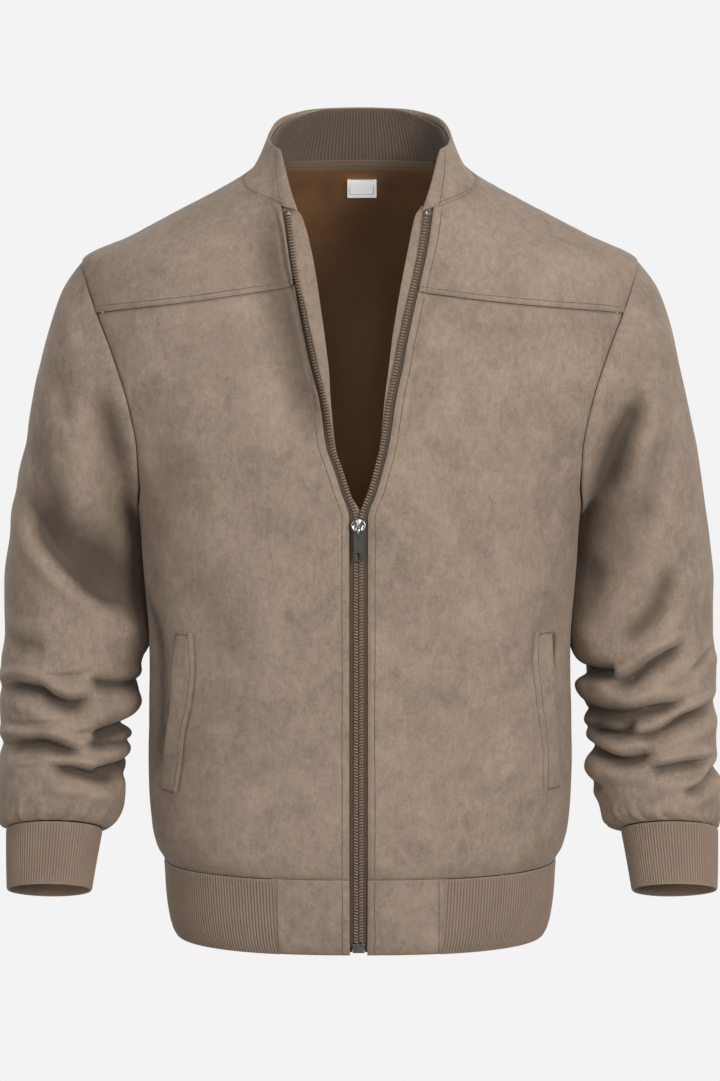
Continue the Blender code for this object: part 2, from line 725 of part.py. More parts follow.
def back_patch():
    """The back's points as angles and heights, from the right side round to the left."""
    step = 360 / SLEEVE_COLUMNS
    turns = step * np.arange(SLEEVE_COLUMNS // 2 + 1, SLEEVE_COLUMNS)
    angles = np.linspace(SIDE_SEAM, 360 - SIDE_SEAM, BACK_CELLS + 1)
    hem = np.stack([angles, np.full(len(angles), HEM_SEAM_HEIGHT)], -1)
    neck = np.stack([angles, neck_height(angles)], -1)
    edges = []
    for side_name, seam in (("right", SIDE_SEAM), ("left", -SIDE_SEAM)):
        up_side = np.linspace((seam, HEM_SEAM_HEIGHT), (seam, UNDERARM_HEIGHT), SIDE_ROWS + 1)
        shoulder = np.linspace((seam, SHOULDER_TIP_HEIGHT), (seam, neck[0, 1]), SHOULDER_CELLS + 1)
        edges.append(np.concatenate([up_side, armhole_stations(side_name, turns), shoulder]))
    right, left = edges
    return blend_patch(hem, neck, right, left + np.array((360.0, 0.0)))


def make_back_and_lining():
    patch = back_patch()
    grids = wall_grids(body_surface, patch[..., 0], patch[..., 1], SUEDE)
    cloth_wall("back", grids, "suede")
    patch = patch[::2, ::2]
    grids = wall_grids(body_surface, patch[..., 0], patch[..., 1], LINING, -LINING_DEPTH)
    cloth_wall("lining_back", [inset(grid, LINING_INSET, False) for grid in grids], "lining")


def make_sleeve(side_name):
    turns = np.arange(SLEEVE_COLUMNS) * 360 / SLEEVE_COLUMNS
    upper = np.linspace(0, SLEEVE_UPPER_ROWS, SLEEVE_ROWS - SLEEVE_LOWER_CELLS)
    lower = np.linspace(SLEEVE_UPPER_ROWS, len(SLEEVE) - 1, SLEEVE_LOWER_CELLS + 1)
    rows = np.concatenate([upper, lower[1:]])
    grids = wall_grids(sleeve_surface(side_name), turns[None], rows[:, None], SUEDE)
    cloth_wall(f"sleeve_{side_name}", grids, "suede", closed=True, side=SIDES[side_name])


def make_cuff(side_name):
    surface = cuff_surface(side_name)
    side = SIDES[side_name]
    ribbed_wall(f"cuff_{side_name}", surface, (0, 360), (0, 1), "rib_knit", closed=True, side=side)


def make_collar():
    front = np.concatenate([[COLLAR_FRONT_ANGLE], neck_angles("right")])
    back = np.linspace(SHOULDER_SEAM, 360 - SHOULDER_SEAM, BACK_CELLS + 1)
    left = 360 - np.concatenate([[COLLAR_FRONT_ANGLE], -neck_angles("left")])
    angles = np.concatenate([front[:-1], back, left[-2::-1]])
    rises = np.linspace(0, 1, 3)
    grids = wall_grids(collar_surface, angles[None], rises[:, None], SUEDE)
    cloth_wall("collar_outer", grids, "suede")
    ends = (COLLAR_FRONT_ANGLE + 1, 359 - COLLAR_FRONT_ANGLE)
    out = SUEDE + COLLAR_LAYER_GAP + RIB_CLOTH
    ribbed_wall("collar_rib", collar_inside, ends, (COLLAR_RIB_START, 0.5, 0.99), "rib_knit", out=out)


def make_neck_tape():
    angles = np.linspace(90 + NECK_TAPE_END, 270 - NECK_TAPE_END, 15)
    drops = np.array((-NECK_TAPE_WIDTH, 0.0)) - 1.0

    def surface(angle, drop):
        return body_surface(angle, neck_height(angle) + drop)

    grids = wall_grids(surface, angles[None], drops[:, None], LINING, -NECK_TAPE_DEPTH)
    cloth_wall("neck_tape", grids, "zip_tape")


def make_label():
    across = np.linspace(-LABEL_WIDTH / 2, LABEL_WIDTH / 2, 4) - LABEL_OFFSET
    heights = np.linspace(LABEL_TOP - LABEL_HEIGHT, LABEL_TOP, 3)
    grids = wall_grids(back_surface, across[None], heights[:, None], LINING, -LABEL_DEPTH)
    cloth_wall("label", grids, "label")


def make_zip_tape(side_name):
    side = SIDES[side_name]
    heights = np.array(ZIP_ROWS)[:, None]
    teeth = read(OPENING, side_name, heights)
    columns = np.array((SEAM_GAP / 2, ZIP_TEETH_HALF, ZIP_TEETH_HALF + 0.2, ZIP_EDGE_INSET + ZIP_TUCK))
    raised = np.array((ZIP_TEETH_RAISE, ZIP_TEETH_RAISE, 0.0, 0.0))
    outer, inner = wall_grids(front_surface, side * (teeth + columns), heights, TAPE, raised - TAPE_DEPTH)
    inner = wall_grids(front_surface, side * (teeth + columns), heights, TAPE, -TAPE_DEPTH)[1]
    cloth_wall(f"zip_tape_{side_name}", (outer, inner), "zip_tape")
    stop_heights = ZIP_ROWS[-1] + np.array((0.0, ZIP_STOP_LENGTH))[:, None]
    teeth = read(OPENING, side_name, stop_heights)
    columns = np.array((SEAM_GAP / 2, ZIP_TEETH_HALF))
    stop_out = ZIP_TEETH_RAISE - TAPE_DEPTH + LAYER_GAP
    stop_across = side * (teeth + columns)
    grids = wall_grids(front_surface, stop_across, stop_heights, ZIP_TEETH_RAISE + TAPE, stop_out)
    cloth_wall(f"zip_stop_{side_name}", grids, "metal")


def make_facing(side_name):
    side = SIDES[side_name]
    heights = np.array((*ZIP_ROWS[2:], NECK_FRONT_HEIGHT))[:, None]
    teeth = read(OPENING, side_name, heights)
    shown = read(OPENING, "facing_" + side_name, heights)
    beyond = np.array((ZIP_EDGE_INSET + ZIP_TUCK, FACING_WIDTH * 0.65, FACING_WIDTH))
    columns = np.concatenate([teeth - shown, teeth + beyond], -1)
    facing_out = -TAPE_DEPTH - TAPE - 2 * LAYER_GAP
    grids = wall_grids(front_surface, side * columns, heights, LINING, facing_out)
    cloth_wall(f"facing_{side_name}", grids, "suede")


def make_pocket_welt(side_name):
    rows = np.linspace(0, len(WELTS[side_name]) - 1, 7)[:, None]
    stitched = read_row(WELTS[side_name], "stitched", rows)
    opening = read_row(WELTS[side_name], "opening", rows)
    heights = read_row(WELTS[side_name], "height", rows)
    across = stitched + np.linspace(0, 1, 3) * (opening - stitched)
    grids = wall_grids(front_surface, SIDES[side_name] * across, heights, WELT, WELT + 2 * LAYER_GAP)
    cloth_wall(f"pocket_welt_{side_name}", grids, "suede")


def make_hem():
    right = float(angle_at(HEM_TAB_END, HEM_SEAM_HEIGHT))
    left = float(angle_at(-HEM_TAB_END, HEM_SEAM_HEIGHT))
    rib_rows = (HEM_EDGE_HEIGHT, HEM_SEAM_HEIGHT - RIB_SEAM_DROP)
    ribbed_wall("hem_rib", body_surface, (right, 360 + left), rib_rows, "rib_knit")
    heights = np.linspace(HEM_EDGE_HEIGHT, HEM_SEAM_HEIGHT, 4)[:, None]
    for side_name, end in (("right", right), ("left", left)):
        edge = front_edge(side_name, HEM_SEAM_HEIGHT)
        start = float(angle_at(edge, HEM_SEAM_HEIGHT))
        angles = np.linspace(start, end - math.copysign(HEM_TAB_GAP, end), 6)[None]
        grids = wall_grids(body_surface, angles, heights, SUEDE + HEM_TAB_EXTRA / 2, HEM_TAB_EXTRA)
        cloth_wall(f"hem_tab_{side_name}", grids, "suede")


def add_box(name, size, middle, round_edges=0.0):
    """A box in millimetres, with its scale applied and its edges rounded."""
    bpy.ops.mesh.primitive_cube_add(size=1, location=[MM * value for value in middle])
    box = bpy.context.object
    box.name = name
    box.data.transform(Matrix.Diagonal([MM * value for value in size]).to_4x4())
    if round_edges:
        bevel = box.modifiers.new("rounded edges", "BEVEL")
        bevel.width = MM * round_edges
        bevel.segments = 2
    return box


def add_cutter(thing, cutter, operation):
    """A Boolean with a cutter that stays out of renders."""
    for collection in list(cutter.users_collection):
        collection.objects.unlink(cutter)
    bpy.data.collections[CUTTERS].objects.link(cutter)
    cutter.hide_render = True
    cutter.display_type = "WIRE"
    boolean = thing.modifiers.new(cutter.name, "BOOLEAN")
    boolean.operation = operation
    boolean.object = cutter


def zip_face():
    """How far forward the zip's teeth stand at the slider."""
    panel = float(front_surface(np.array(ZIP_CENTRE), np.array(SLIDER_HEIGHT))[1])
    return panel + TAPE_DEPTH - ZIP_TEETH_RAISE


def make_slider():
    face = zip_face() - LAYER_GAP
    front = face - SLIDER_DEPTH
    middle = (ZIP_CENTRE, face - SLIDER_DEPTH / 2, SLIDER_HEIGHT)
    slider = add_box("zip_slider", (SLIDER_WIDTH, SLIDER_DEPTH, SLIDER_LENGTH), middle, 0.9)
    bridge_front = front - TUNNEL_HEIGHT - BRIDGE_THICK
    bar_middle = (ZIP_CENTRE, bridge_front + BRIDGE_THICK / 2, PULL_HEIGHT)
    bar = add_box("bridge_bar", (BRIDGE_WIDTH, BRIDGE_THICK, 2 * BRIDGE_REACH), bar_middle)
    add_cutter(slider, bar, "UNION")
    foot_depth = TUNNEL_HEIGHT + BRIDGE_THICK + 1.0
    for name, sign in (("bridge_foot_upper", 1), ("bridge_foot_lower", -1)):
        foot_height = PULL_HEIGHT + sign * (BRIDGE_REACH - BRIDGE_FOOT / 2)
        foot_middle = (ZIP_CENTRE, bridge_front + foot_depth / 2, foot_height)
        foot = add_box(name, (BRIDGE_WIDTH, foot_depth, BRIDGE_FOOT), foot_middle)
        add_cutter(slider, foot, "UNION")
    finish_object(slider, "metal")


def make_pull_tab():
    axis = zip_face() - LAYER_GAP - SLIDER_DEPTH - PIN_STAND
    tab = add_box("zip_pull_tab", (PULL_WIDTH, PULL_THICK, PULL_LENGTH), (0, 0, -PULL_LENGTH / 2), 0.25)
    window_low = PULL_RIM - PULL_LENGTH
    window = ("pull_window", window_low + WINDOW_LENGTH, window_low)
    for name, high, low in (("pull_slot", 0.5, -SLOT_LENGTH), window):
        size = (PULL_WIDTH - 2 * PULL_ARM, 4 * PULL_THICK, high - low)
        cutter = add_box(name, size, (ZIP_CENTRE, axis, PULL_HEIGHT + (high + low) / 2))
        add_cutter(tab, cutter, "DIFFERENCE")
    bpy.ops.mesh.primitive_cylinder_add(
        vertices=16,
        radius=MM * PIN_RADIUS,
        depth=MM * PULL_WIDTH,
        location=(MM * ZIP_CENTRE, MM * axis, MM * PULL_HEIGHT),
        rotation=(0, math.radians(90), 0),
    )
    pin = bpy.context.object
    pin.name = "pull_pin"
    add_cutter(tab, pin, "UNION")
    tab.location = (MM * ZIP_CENTRE, MM * axis, MM * PULL_HEIGHT)
    tab.data.transform(Matrix.Translation((0, 0, -MM * PULL_LENGTH / 2)))
    finish_object(tab, "metal")


def make_zip_box():
    height = HEM_EDGE_HEIGHT + ZIP_BOX_RISE + ZIP_BOX_LENGTH / 2
    depth = float(front_surface(np.array(ZIP_CENTRE), np.array(height))[1])
    size = (ZIP_BOX_WIDTH, ZIP_BOX_DEPTH, ZIP_BOX_LENGTH)
    box = add_box("zip_box", size, (ZIP_CENTRE, depth + 1.0, height), 0.6)
    finish_object(box, "metal")


def main():
    clear_scene()
    for name in (JACKET, CUTTERS):
        bpy.context.scene.collection.children.link(bpy.data.collections.new(name))
    for name, (colour, roughness, metallic) in LOOKS.items():
        make_material(name, colour, roughness, metallic)
    for side_name in SIDES:
        make_front(side_name)
        make_yoke(side_name)
        make_sleeve(side_name)
        make_cuff(side_name)
        make_zip_tape(side_name)
        make_facing(side_name)
        make_pocket_welt(side_name)
    make_back_and_lining()
    make_collar()
    make_neck_tape()
    make_label()
    make_hem()
    make_slider()
    make_pull_tab()
    make_zip_box()


main()
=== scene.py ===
"""The looks of a zip-front bomber jacket in faux suede, filled out as if worn.

The jacket stands upright with +Z up, its front towards -Y and the viewer's right at +X.
Every length in a table or a function is in millimetres until a mesh is made.
"""

import math
from collections import namedtuple

import bmesh
import bpy
import numpy as np
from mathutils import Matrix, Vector
from mathutils.bvhtree import BVHTree


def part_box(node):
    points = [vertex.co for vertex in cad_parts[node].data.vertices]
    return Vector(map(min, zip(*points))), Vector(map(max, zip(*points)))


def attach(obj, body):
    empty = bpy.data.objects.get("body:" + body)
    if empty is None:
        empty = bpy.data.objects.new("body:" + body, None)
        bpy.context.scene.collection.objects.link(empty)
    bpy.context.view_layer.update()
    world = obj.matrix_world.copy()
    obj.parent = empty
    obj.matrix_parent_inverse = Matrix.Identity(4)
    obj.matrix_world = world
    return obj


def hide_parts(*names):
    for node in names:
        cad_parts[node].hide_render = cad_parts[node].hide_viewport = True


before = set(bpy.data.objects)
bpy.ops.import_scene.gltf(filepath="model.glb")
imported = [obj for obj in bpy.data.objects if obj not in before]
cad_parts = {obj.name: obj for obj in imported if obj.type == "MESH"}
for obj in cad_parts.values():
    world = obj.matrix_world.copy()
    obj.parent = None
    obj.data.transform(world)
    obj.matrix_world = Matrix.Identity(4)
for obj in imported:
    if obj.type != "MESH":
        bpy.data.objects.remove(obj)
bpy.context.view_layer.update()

bl_info = {
    "name": "Bomber jacket",
    "version": (1, 0, 0),
    "blender": (4, 5, 0),
    "location": "3D View > Sidebar > Jacket",
    "description": "Makes the cloth, seams, zip and studio of a faux-suede bomber jacket",
    "category": "Object",
}

MM = 0.001
JACKET = "jacket"
SIDES = {"left": -1, "right": 1}
OTHER_SIDE = {"left": "right", "right": "left"}

# How thick each cloth is, and the gaps left between neighbours.
SUEDE = 1.6
LINING = 1.0
RIB_CLOTH = 1.8
TAPE = 0.9
WELT = 1.3
SEAM_GAP = 0.3
LAYER_GAP = 0.3

# The body's shape, and the heights of its seams.
SQUARENESS = 2.4
SIDE_SEAM = 90.0
SHOULDER_TIP_HEIGHT = -82.0
UNDERARM_HEIGHT = -290.0
HEM_SEAM_HEIGHT = -590.0
HEM_EDGE_HEIGHT = -655.0
HEM_TAB_END = 72.0
HEM_TAB_UNDERLAP = 0.25
YOKE_TURN = 54.0
YOKE_LAP = 0.9
YOKE_SEAM = {"left": -101, "right": -106}
HALVINGS = 30

# The zip: its height, its tapes' depth behind the cloth, and how far the fronts' edges stand from its teeth.
ZIP_BOTTOM = -643.7
ZIP_TOP = -43.0
SLIDER_HEIGHT = -299.0
SLIDER_SPAN = (-308, -291)
TAPE_DEPTH = 2.6
ZIP_EDGE_INSET = 7.3
ZIP_TUCK = 6.0
TOOTH_PITCH = 2.5
FACING_WIDTH = 36.0
# The facing strip's painted shade, given to the suede's finish as its crease value.
FACING_SHADE = 0.18

# The collar, by angle from the front centre and share of the way up, and what lies inside the neck.
NECK_FRONT_HEIGHT = -37.0
COLLAR_FRONT_ANGLE = 31.0
COLLAR_TURNED_IN = 12.5
COLLAR_BULGE = 1.5
COLLAR_HOLLOW = 7.0
COLLAR_LAYER_GAP = 1.8
COLLAR_STITCH_IN = 6.5
COLLAR_STITCH_RISE = 0.075
# How much painted shade darkens the collar's rib inside the neck.
COLLAR_RIB_SHADE = 0.62
NECK_TAPE_END = 35.0
NECK_TAPE_WIDTH = 9.0
NECK_TAPE_DEPTH = 8.1
LINING_DEPTH = 4.8
LABEL_WIDTH = 26.0
LABEL_HEIGHT = 17.0
LABEL_TOP = -7.2
LABEL_OFFSET = 1.7
LABEL_DEPTH = 9.1
LABEL_STITCH_DROP = 3.6

# The sleeves and cuffs.
ARMHOLE_BLEND_ROWS = 3.0
SLEEVE_CREASE_SCALE = 1.3
CUFF_LENGTH = 52.0
CUFF_TAPER = 5.0
CUFF_OUTWARD = 3.0

# Creases fade out by their ends, let the cloth slip down over them, and are painted in full shade from about this
# depth.
CREASE_FADE = 0.28
CREASE_SLIP = 0.18
CREASE_FULL = 9

# Cells across and up each piece whose fineness is no setting of its own.
BACK_CELLS = (151, 171)
LINING_CELLS = (101, 121)
SLEEVE_ROWS = (76, 175)
HEM_TAB_CELLS = 40
COLLAR_CELLS = (181, 40)

# The knit's ribs and courses, the stitches, and the angles from which an edge is sharp.
RIB_COLUMNS = 6
RIB_HEIGHT = 0.9
COURSE_PITCH = 1.15
STITCH_SINK = 0.05
SHARP_EDGE = 62
SHARP_RIB = 75

# The studio, in metres, and the duller colour of some of the nap.
FLOOR_DEPTH = 1.05
BACKDROP_BRIGHTNESS = (0.896, 0.896, 0.896)
ROOM_LIGHT = 0.25
JACKET_MIDDLE = (0, 0, -0.35)
CAMERA_TARGET = Vector((0, 0, -0.3195))
CAMERA_DISTANCE = 3.2
CAMERA_RISE = 5
CAMERA_LENS = 125.4
GREYER_NAP = (0.34, 0.262, 0.215)


def named_rows(fields, *rows):
    """Rows of numbers whose columns have names."""
    row_kind = namedtuple("Row", fields)
    return tuple(row_kind(*row) for row in rows)


# The body's level sections: the front and back are depths from the centre line.
BODY = named_rows(
    "height half_width front back",
    (20, 70, 68, 60), (6, 79, 73, 66), (0, 86, 76, 70), (-10, 98, 79, 79), (-20, 115, 82, 88),
    (-40, 153, 88, 99), (-60, 191, 94, 107), (-82, 234, 101, 113), (-110, 240, 108, 118),
    (-150, 238, 116, 122), (-200, 228, 122, 125), (-245, 208, 125, 126), (-290, 187, 127, 126),
    (-340, 183, 128, 125), (-420, 179, 128, 122), (-500, 180, 127, 120), (-560, 177, 126, 119),
    (-578, 173, 124.5, 118.5), (-590, 167, 121.5, 116.5), (-620, 165, 119, 115), (-645, 161, 116, 112),
    (-656, 156, 112, 108),
)

# How far from the centre line the armhole seam lies on the body, in front and behind.
ARMHOLE = named_rows(
    "height front back",
    (-82, 234, 234), (-95, 230, 231), (-120, 221, 224), (-157, 206, 212), (-205, 191, 199),
    (-240, 185, 190), (-268, 184, 187), (-290, 187, 187),
)

# The neck seam on the body, by angle from the front centre, and the collar's top edge above it.
NECK_SEAM = named_rows(
    "angle height",
    (28, -41), (36, -37), (50, -28), (70, -14), (90, -5), (120, -2), (180, 0), (240, -2),
)
COLLAR_EDGE = named_rows(
    "angle radius height",
    (50, 88, 11), (70, 80, 17), (90, 76, 27), (120, 74, 40.5), (150, 70, 47.3), (180, 67, 48.5),
    (210, 70, 47.3),
)

# The strip of suede that turns in along the collar's front and top edges, from its edge to where the rib starts.
COLLAR_TURNING = named_rows(
    "edge_angle edge_rise angle rise",
    (31.2, 0.01, 47, 0.01), (31.2, 0.3, 46, 0.25), (31.2, 0.6, 46, 0.5), (31.4, 0.88, 47, 0.62),
    (33, 0.975, 52, 0.7), (42, 0.992, 61, 0.77), (60, 0.992, 72, 0.8), (85, 0.992, 90, 0.82),
    (115, 0.992, 115, 0.86), (148, 0.992, 148, 0.96),
)

# How far the teeth stand from the centre line, and how far each facing shows past them.
OPENING = named_rows(
    "height left right facing_left facing_right",
    (-36, 57.5, 53.5, 3.5, 3.0), (-42, 56.6, 52.6, 8.0, 6.5), (-60, 54.0, 50.0, 11.5, 8.5),
    (-84, 50.8, 45.9, 13.5, 9.5), (-123, 46.0, 37.0, 14.8, 7.5), (-162, 37.5, 28.8, 12.0, 4.5),
    (-194, 27.7, 22.0, 5.0, 2.0), (-231, 21.0, 16.2, 0.5, 0.0), (-250, 14.2, 11.6, -0.6, -0.6),
    (-268, 8.4, 6.6, -0.8, -0.8), (-291, 1.4, -1.0, 3.4, -3.6), (-660, 1.4, -1.0, 3.4, -3.6),
)

# Sleeve sections, each from a point on the sleeve's outer line to a point on its underarm line.
SLEEVE = named_rows(
    "outer_height outer_left outer_right inner_height inner_left inner_right forward half_depth lean",
    (-82, 234, 234, -290, 186.5, 186.5, -3, 75, 0), (-105, 250, 251, -296, 188.5, 188.5, -3, 77, 0),
    (-138, 262, 263, -301, 190.5, 189.5, -4, 78, 0), (-172, 271, 271, -306, 192.0, 190.0, -5, 78, 0),
    (-207, 279, 279, -312, 193.5, 190.0, -6, 76, 0), (-245, 286, 286, -320, 194.5, 190.0, -7, 74, 0),
    (-280, 292, 292, -331, 195.0, 190.0, -8, 71, 0), (-316, 298, 297, -345, 195.0, 189.0, -8, 69, 0),
    (-356, 303, 301, -368, 194.0, 188.0, -8, 67, 1), (-397, 303, 301, -399, 189.0, 187.0, -6, 65, 4),
    (-424, 306, 304, -424, 186.5, 186.5, -3, 63, 7), (-456, 306, 303, -456, 187.0, 186.0, 4, 61, 11),
    (-487, 304, 303, -487, 191.0, 191.0, 13, 58, 14), (-516, 306, 304, -516, 198.0, 193.0, 23, 56, 16),
    (-540, 306, 305, -540, 200.0, 202.0, 32, 53, 18), (-555, 304, 304, -555, 208.0, 207.0, 37, 48, 19),
    (-561, 298.5, 302, -561, 218.0, 221.0, 39, 40, 19),
)

# Creases as the front shows them: points across and up, the depth, the reach of the upper and lower lips, and the
# share of the depth by which the cloth rolls up beside them.
Crease = namedtuple("Crease", "points depth upper lower roll", defaults=(0.34,))
SLEEVE_CREASES = {
    "left": (
        Crease(((-286, -262), (-267, -307), (-225, -350), (-198, -374), (-168, -402)), 11.2, 32, 8.6, 0.25),
        Crease(((-233, -100), (-233, -126), (-221, -158)), 1.92, 5, 7),
        Crease(((-214, -186), (-201, -225), (-189, -258)), 7.2, 9, 12),
        Crease(((-251, -165), (-246, -195), (-240, -225)), 2.4, 9, 10),
        Crease(((-277, -215), (-262, -262), (-246, -300)), 3.12, 14, 14),
        Crease(((-298, -408), (-280, -404), (-262, -409)), 3.6, 8, 10),
        Crease(((-309, -449), (-289, -437), (-271, -438), (-256, -446), (-240, -450), (-216, -447)), 10.8, 4.5, 9),
        Crease(((-229, -431), (-206, -436), (-176, -441)), 7.5, 4, 8, 0.12),
        Crease(((-231, -481), (-214, -486), (-180, -488)), 7, 4, 7, 0.1),
        Crease(((-226, -478), (-208, -474), (-192, -471), (-170, -468)), 19, 6, 8, 0.05),
        Crease(((-226, -504), (-204, -505), (-172, -503)), 15, 5, 7, 0.05),
        Crease(((-309, -494), (-285, -484), (-267, -482), (-245, -488), (-228, -497)), 10.2, 4.5, 9),
        Crease(((-268, -502), (-240, -504), (-218, -510), (-192, -520)), 10.2, 4, 8),
        Crease(((-302, -427), (-266, -429), (-216, -425)), 1.92, 2.5, 4),
        Crease(((-302, -470), (-272, -469), (-244, -461)), 2.16, 2.5, 4),
        Crease(((-290, -506), (-268, -501), (-249, -495)), 1.92, 2.5, 4),
        Crease(((-238, -476), (-218, -474)), 1.68, 2.5, 3.5),
    ),
    "right": (
        Crease(((214, -178), (204, -192), (194, -212)), 4.8, 7, 9),
        Crease(((236, -184), (216, -229), (199, -284)), 6.6, 10, 12),
        Crease(((258, -208), (242, -262), (232, -315)), 3.12, 13, 14),
        Crease(((265, -330), (247, -374), (208, -406)), 6, 12, 9),
        Crease(((205, -326), (200, -362), (189, -398)), 5.4, 9, 9),
        Crease(((160, -420), (187, -427), (217, -424)), 18, 6, 7, 0.14),
        Crease(((203, -440), (225, -430), (241, -418), (260, -408), (281, -401)), 9.6, 4.5, 9),
        Crease(((169, -449), (195, -460), (222, -458), (250, -453), (284, -452)), 12, 5, 9, 0.14),
        Crease(((184, -477), (210, -477), (233, -468)), 13.2, 5, 6, 0.14),
        Crease(((216, -482), (250, -473), (276, -462), (310, -453)), 9.6, 4, 8),
        Crease(((182, -487), (202, -494), (218, -497), (251, -491)), 13.2, 4.5, 7, 0.14),
        Crease(((233, -507), (258, -502), (276, -500), (302, -502)), 7.2, 3.5, 7),
        Crease(((268, -526), (285, -518), (309, -503)), 6, 3, 6),
        Crease(((180, -520), (205, -526)), 4, 5, 6),
        Crease(((191, -465), (229, -467), (262, -463)), 1.8, 2.5, 4),
        Crease(((211, -487), (250, -488), (280, -481)), 1.92, 2.5, 4),
        Crease(((276, -428), (300, -407)), 2.88, 2.5, 5),
    ),
}
SLEEVE_VALLEYS = {
    "left": (
        Crease(((-212, -130), (-202, -190), (-194, -250), (-189, -330), (-186, -412)), 20, 14, 28, 0),
        Crease(((-202, -392), (-192, -425), (-186, -450)), 8, 12, 14, 0),
    ),
    "right": (
        Crease(((214, -140), (203, -190), (195, -250), (189, -330), (186, -400)), 24, 14, 32, 0),
        Crease(((186, -400), (195, -450), (203, -500)), 9, 14, 12, 0),
    ),
}
BODY_CREASES = (
    Crease(((-86, -12), (-73, -48), (-67, -85), (-57, -122), (-42, -190), (-27, -250)), 8.5, 6.5, 22, 0.25),
    Crease(((72, -60), (58, -110), (40, -180)), 2.6, 13, 9),
    Crease(
        ((-186, -335), (-178, -362), (-167, -392), (-163.5, -420), (-164, -462), (-169, -500), (-175, -530)),
        9, 2.2, 6.5, 0.0,
    ),
    Crease(((-182, -392), (-181, -440), (-180, -490), (-182, -528)), 5, 4, 6, 0.0),
    Crease(((174, -345), (152, -392), (132, -440)), 3.0, 16, 16),
    Crease(((-150, -330), (-120, -372), (-96, -430)), 2.6, 16, 18),
    Crease(((-176, -212), (-160, -250), (-150, -300)), 2.2, 11, 12),
    Crease(((-152, -232), (-140, -262), (-133, -300)), 1.6, 9, 9),
    Crease(((172, -222), (158, -262), (152, -306)), 2.0, 11, 12),
    Crease(((-120, -470), (-96, -500), (-60, -520)), 1.8, 14, 14),
    Crease(((118, -452), (88, -498), (52, -516)), 1.8, 14, 14),
)
BACK_CREASES = (
    Crease(((-150, -250), (-110, -282), (-60, -330)), 3.5, 18, 18),
    Crease(((150, -262), (112, -296), (70, -345)), 3.5, 18, 18),
    Crease(((-120, -470), (-10, -488), (100, -486)), 3.0, 16, 16),
    Crease(((-172, -190), (-160, -236), (-164, -290)), 4.0, 12, 12),
    Crease(((172, -196), (158, -240), (163, -296)), 4.0, 12, 12),
    Crease(((-60, -110), (-52, -170), (-66, -230)), 1.8, 16, 16),
    Crease(((64, -120), (50, -176), (60, -240)), 1.8, 16, 16),
    Crease(((-150, -420), (-90, -404), (-30, -420)), 2.0, 14, 14),
    Crease(((40, -400), (96, -392), (150, -412)), 2.0, 14, 14),
)

# Each pocket welt, from top to bottom, with the distances of its stitched edge and its opening edge.
WELTS = {
    "left": named_rows(
        "height stitched opening",
        (-388, 138, 150), (-416, 136, 154), (-444, 139, 155), (-472, 145, 159), (-500, 148, 163), (-524, 152, 166),
    ),
    "right": named_rows(
        "height stitched opening",
        (-388, 147, 161), (-416, 146, 160), (-444, 147, 160), (-472, 151, 163), (-500, 153, 165), (-522, 153, 167),
    ),
}


def smooth_value(keys, values, at):
    """A smooth curve through values at rising keys, which never swings past them."""
    rises = np.diff(values) / np.diff(keys)
    product = rises[1:] * rises[:-1]
    total = np.where(product > 0, rises[1:] + rises[:-1], 1.0)
    slopes = np.concatenate([rises[:1], np.where(product > 0, 2 * product / total, 0.0), rises[-1:]])
    at = np.clip(np.asarray(at, float), keys[0], keys[-1])
    low = np.clip(np.searchsorted(keys, at, side="right") - 1, 0, len(keys) - 2)
    span = keys[low + 1] - keys[low]
    t = (at - keys[low]) / span
    rise = t * t * (3 - 2 * t)
    start = t * (1 - t) ** 2 * span * slopes[low]
    end = -t * t * (1 - t) * span * slopes[low + 1]
    return values[low] * (1 - rise) + values[low + 1] * rise + start + end


def read(table, field, at):
    """A smooth value of one column of a table, by the table's first column."""
    keys = np.array([row[0] for row in table], float)
    values = np.array([getattr(row, field) for row in table], float)
    if keys[0] > keys[-1]:
        keys, values = keys[::-1], values[::-1]
    return smooth_value(keys, values, at)


def read_row(table, field, at):
    """A smooth value of one column of a table, by the row's number, counted from 0."""
    values = np.array([getattr(row, field) for row in table], float)
    return smooth_value(np.arange(len(values), dtype=float), values, at)


def smooth_step(low, high, value):
    """A smooth rise from 0 at low to 1 at high."""
    t = np.clip((value - low) / (high - low), 0, 1)
    return t * t * (3 - 2 * t)


def bell(value, width, middle=0.0):
    """1 in the middle, falling off smoothly on both sides."""
    return np.exp(-(((value - middle) / width) ** 2))


def paired(first, second):
    """Two arrays of one shape."""
    return np.broadcast_arrays(np.asarray(first, float), np.asarray(second, float))


def wave_of(angle):
    """The cosine and sine of an angle in degrees."""
    return np.cos(np.radians(angle)), np.sin(np.radians(angle))


def unit(vectors):
    """The vectors drawn out or pressed together to a length of 1."""
    return vectors / np.linalg.norm(vectors, axis=-1, keepdims=True)


def run_along(points):
    """How far each point lies along the line that the points make."""
    return np.concatenate([[0], np.cumsum(np.linalg.norm(np.diff(points, axis=0), axis=-1))])


def points_at(places, passed, line):
    """Points at given places along a line."""
    return np.stack([np.interp(places, passed, column) for column in line.T], -1)


def crease_line(points):
    """A crease's points joined by a smooth line of short runs."""
    points = np.array(points, float)
    keys = np.arange(len(points), dtype=float)
    at = np.linspace(0, len(points) - 1, 12 * (len(points) - 1) + 1)
    if len(points) == 2:
        return points[0] + (points[1] - points[0]) * at[:, None]
    return np.stack([smooth_value(keys, points[:, 0], at), smooth_value(keys, points[:, 1], at)], -1)


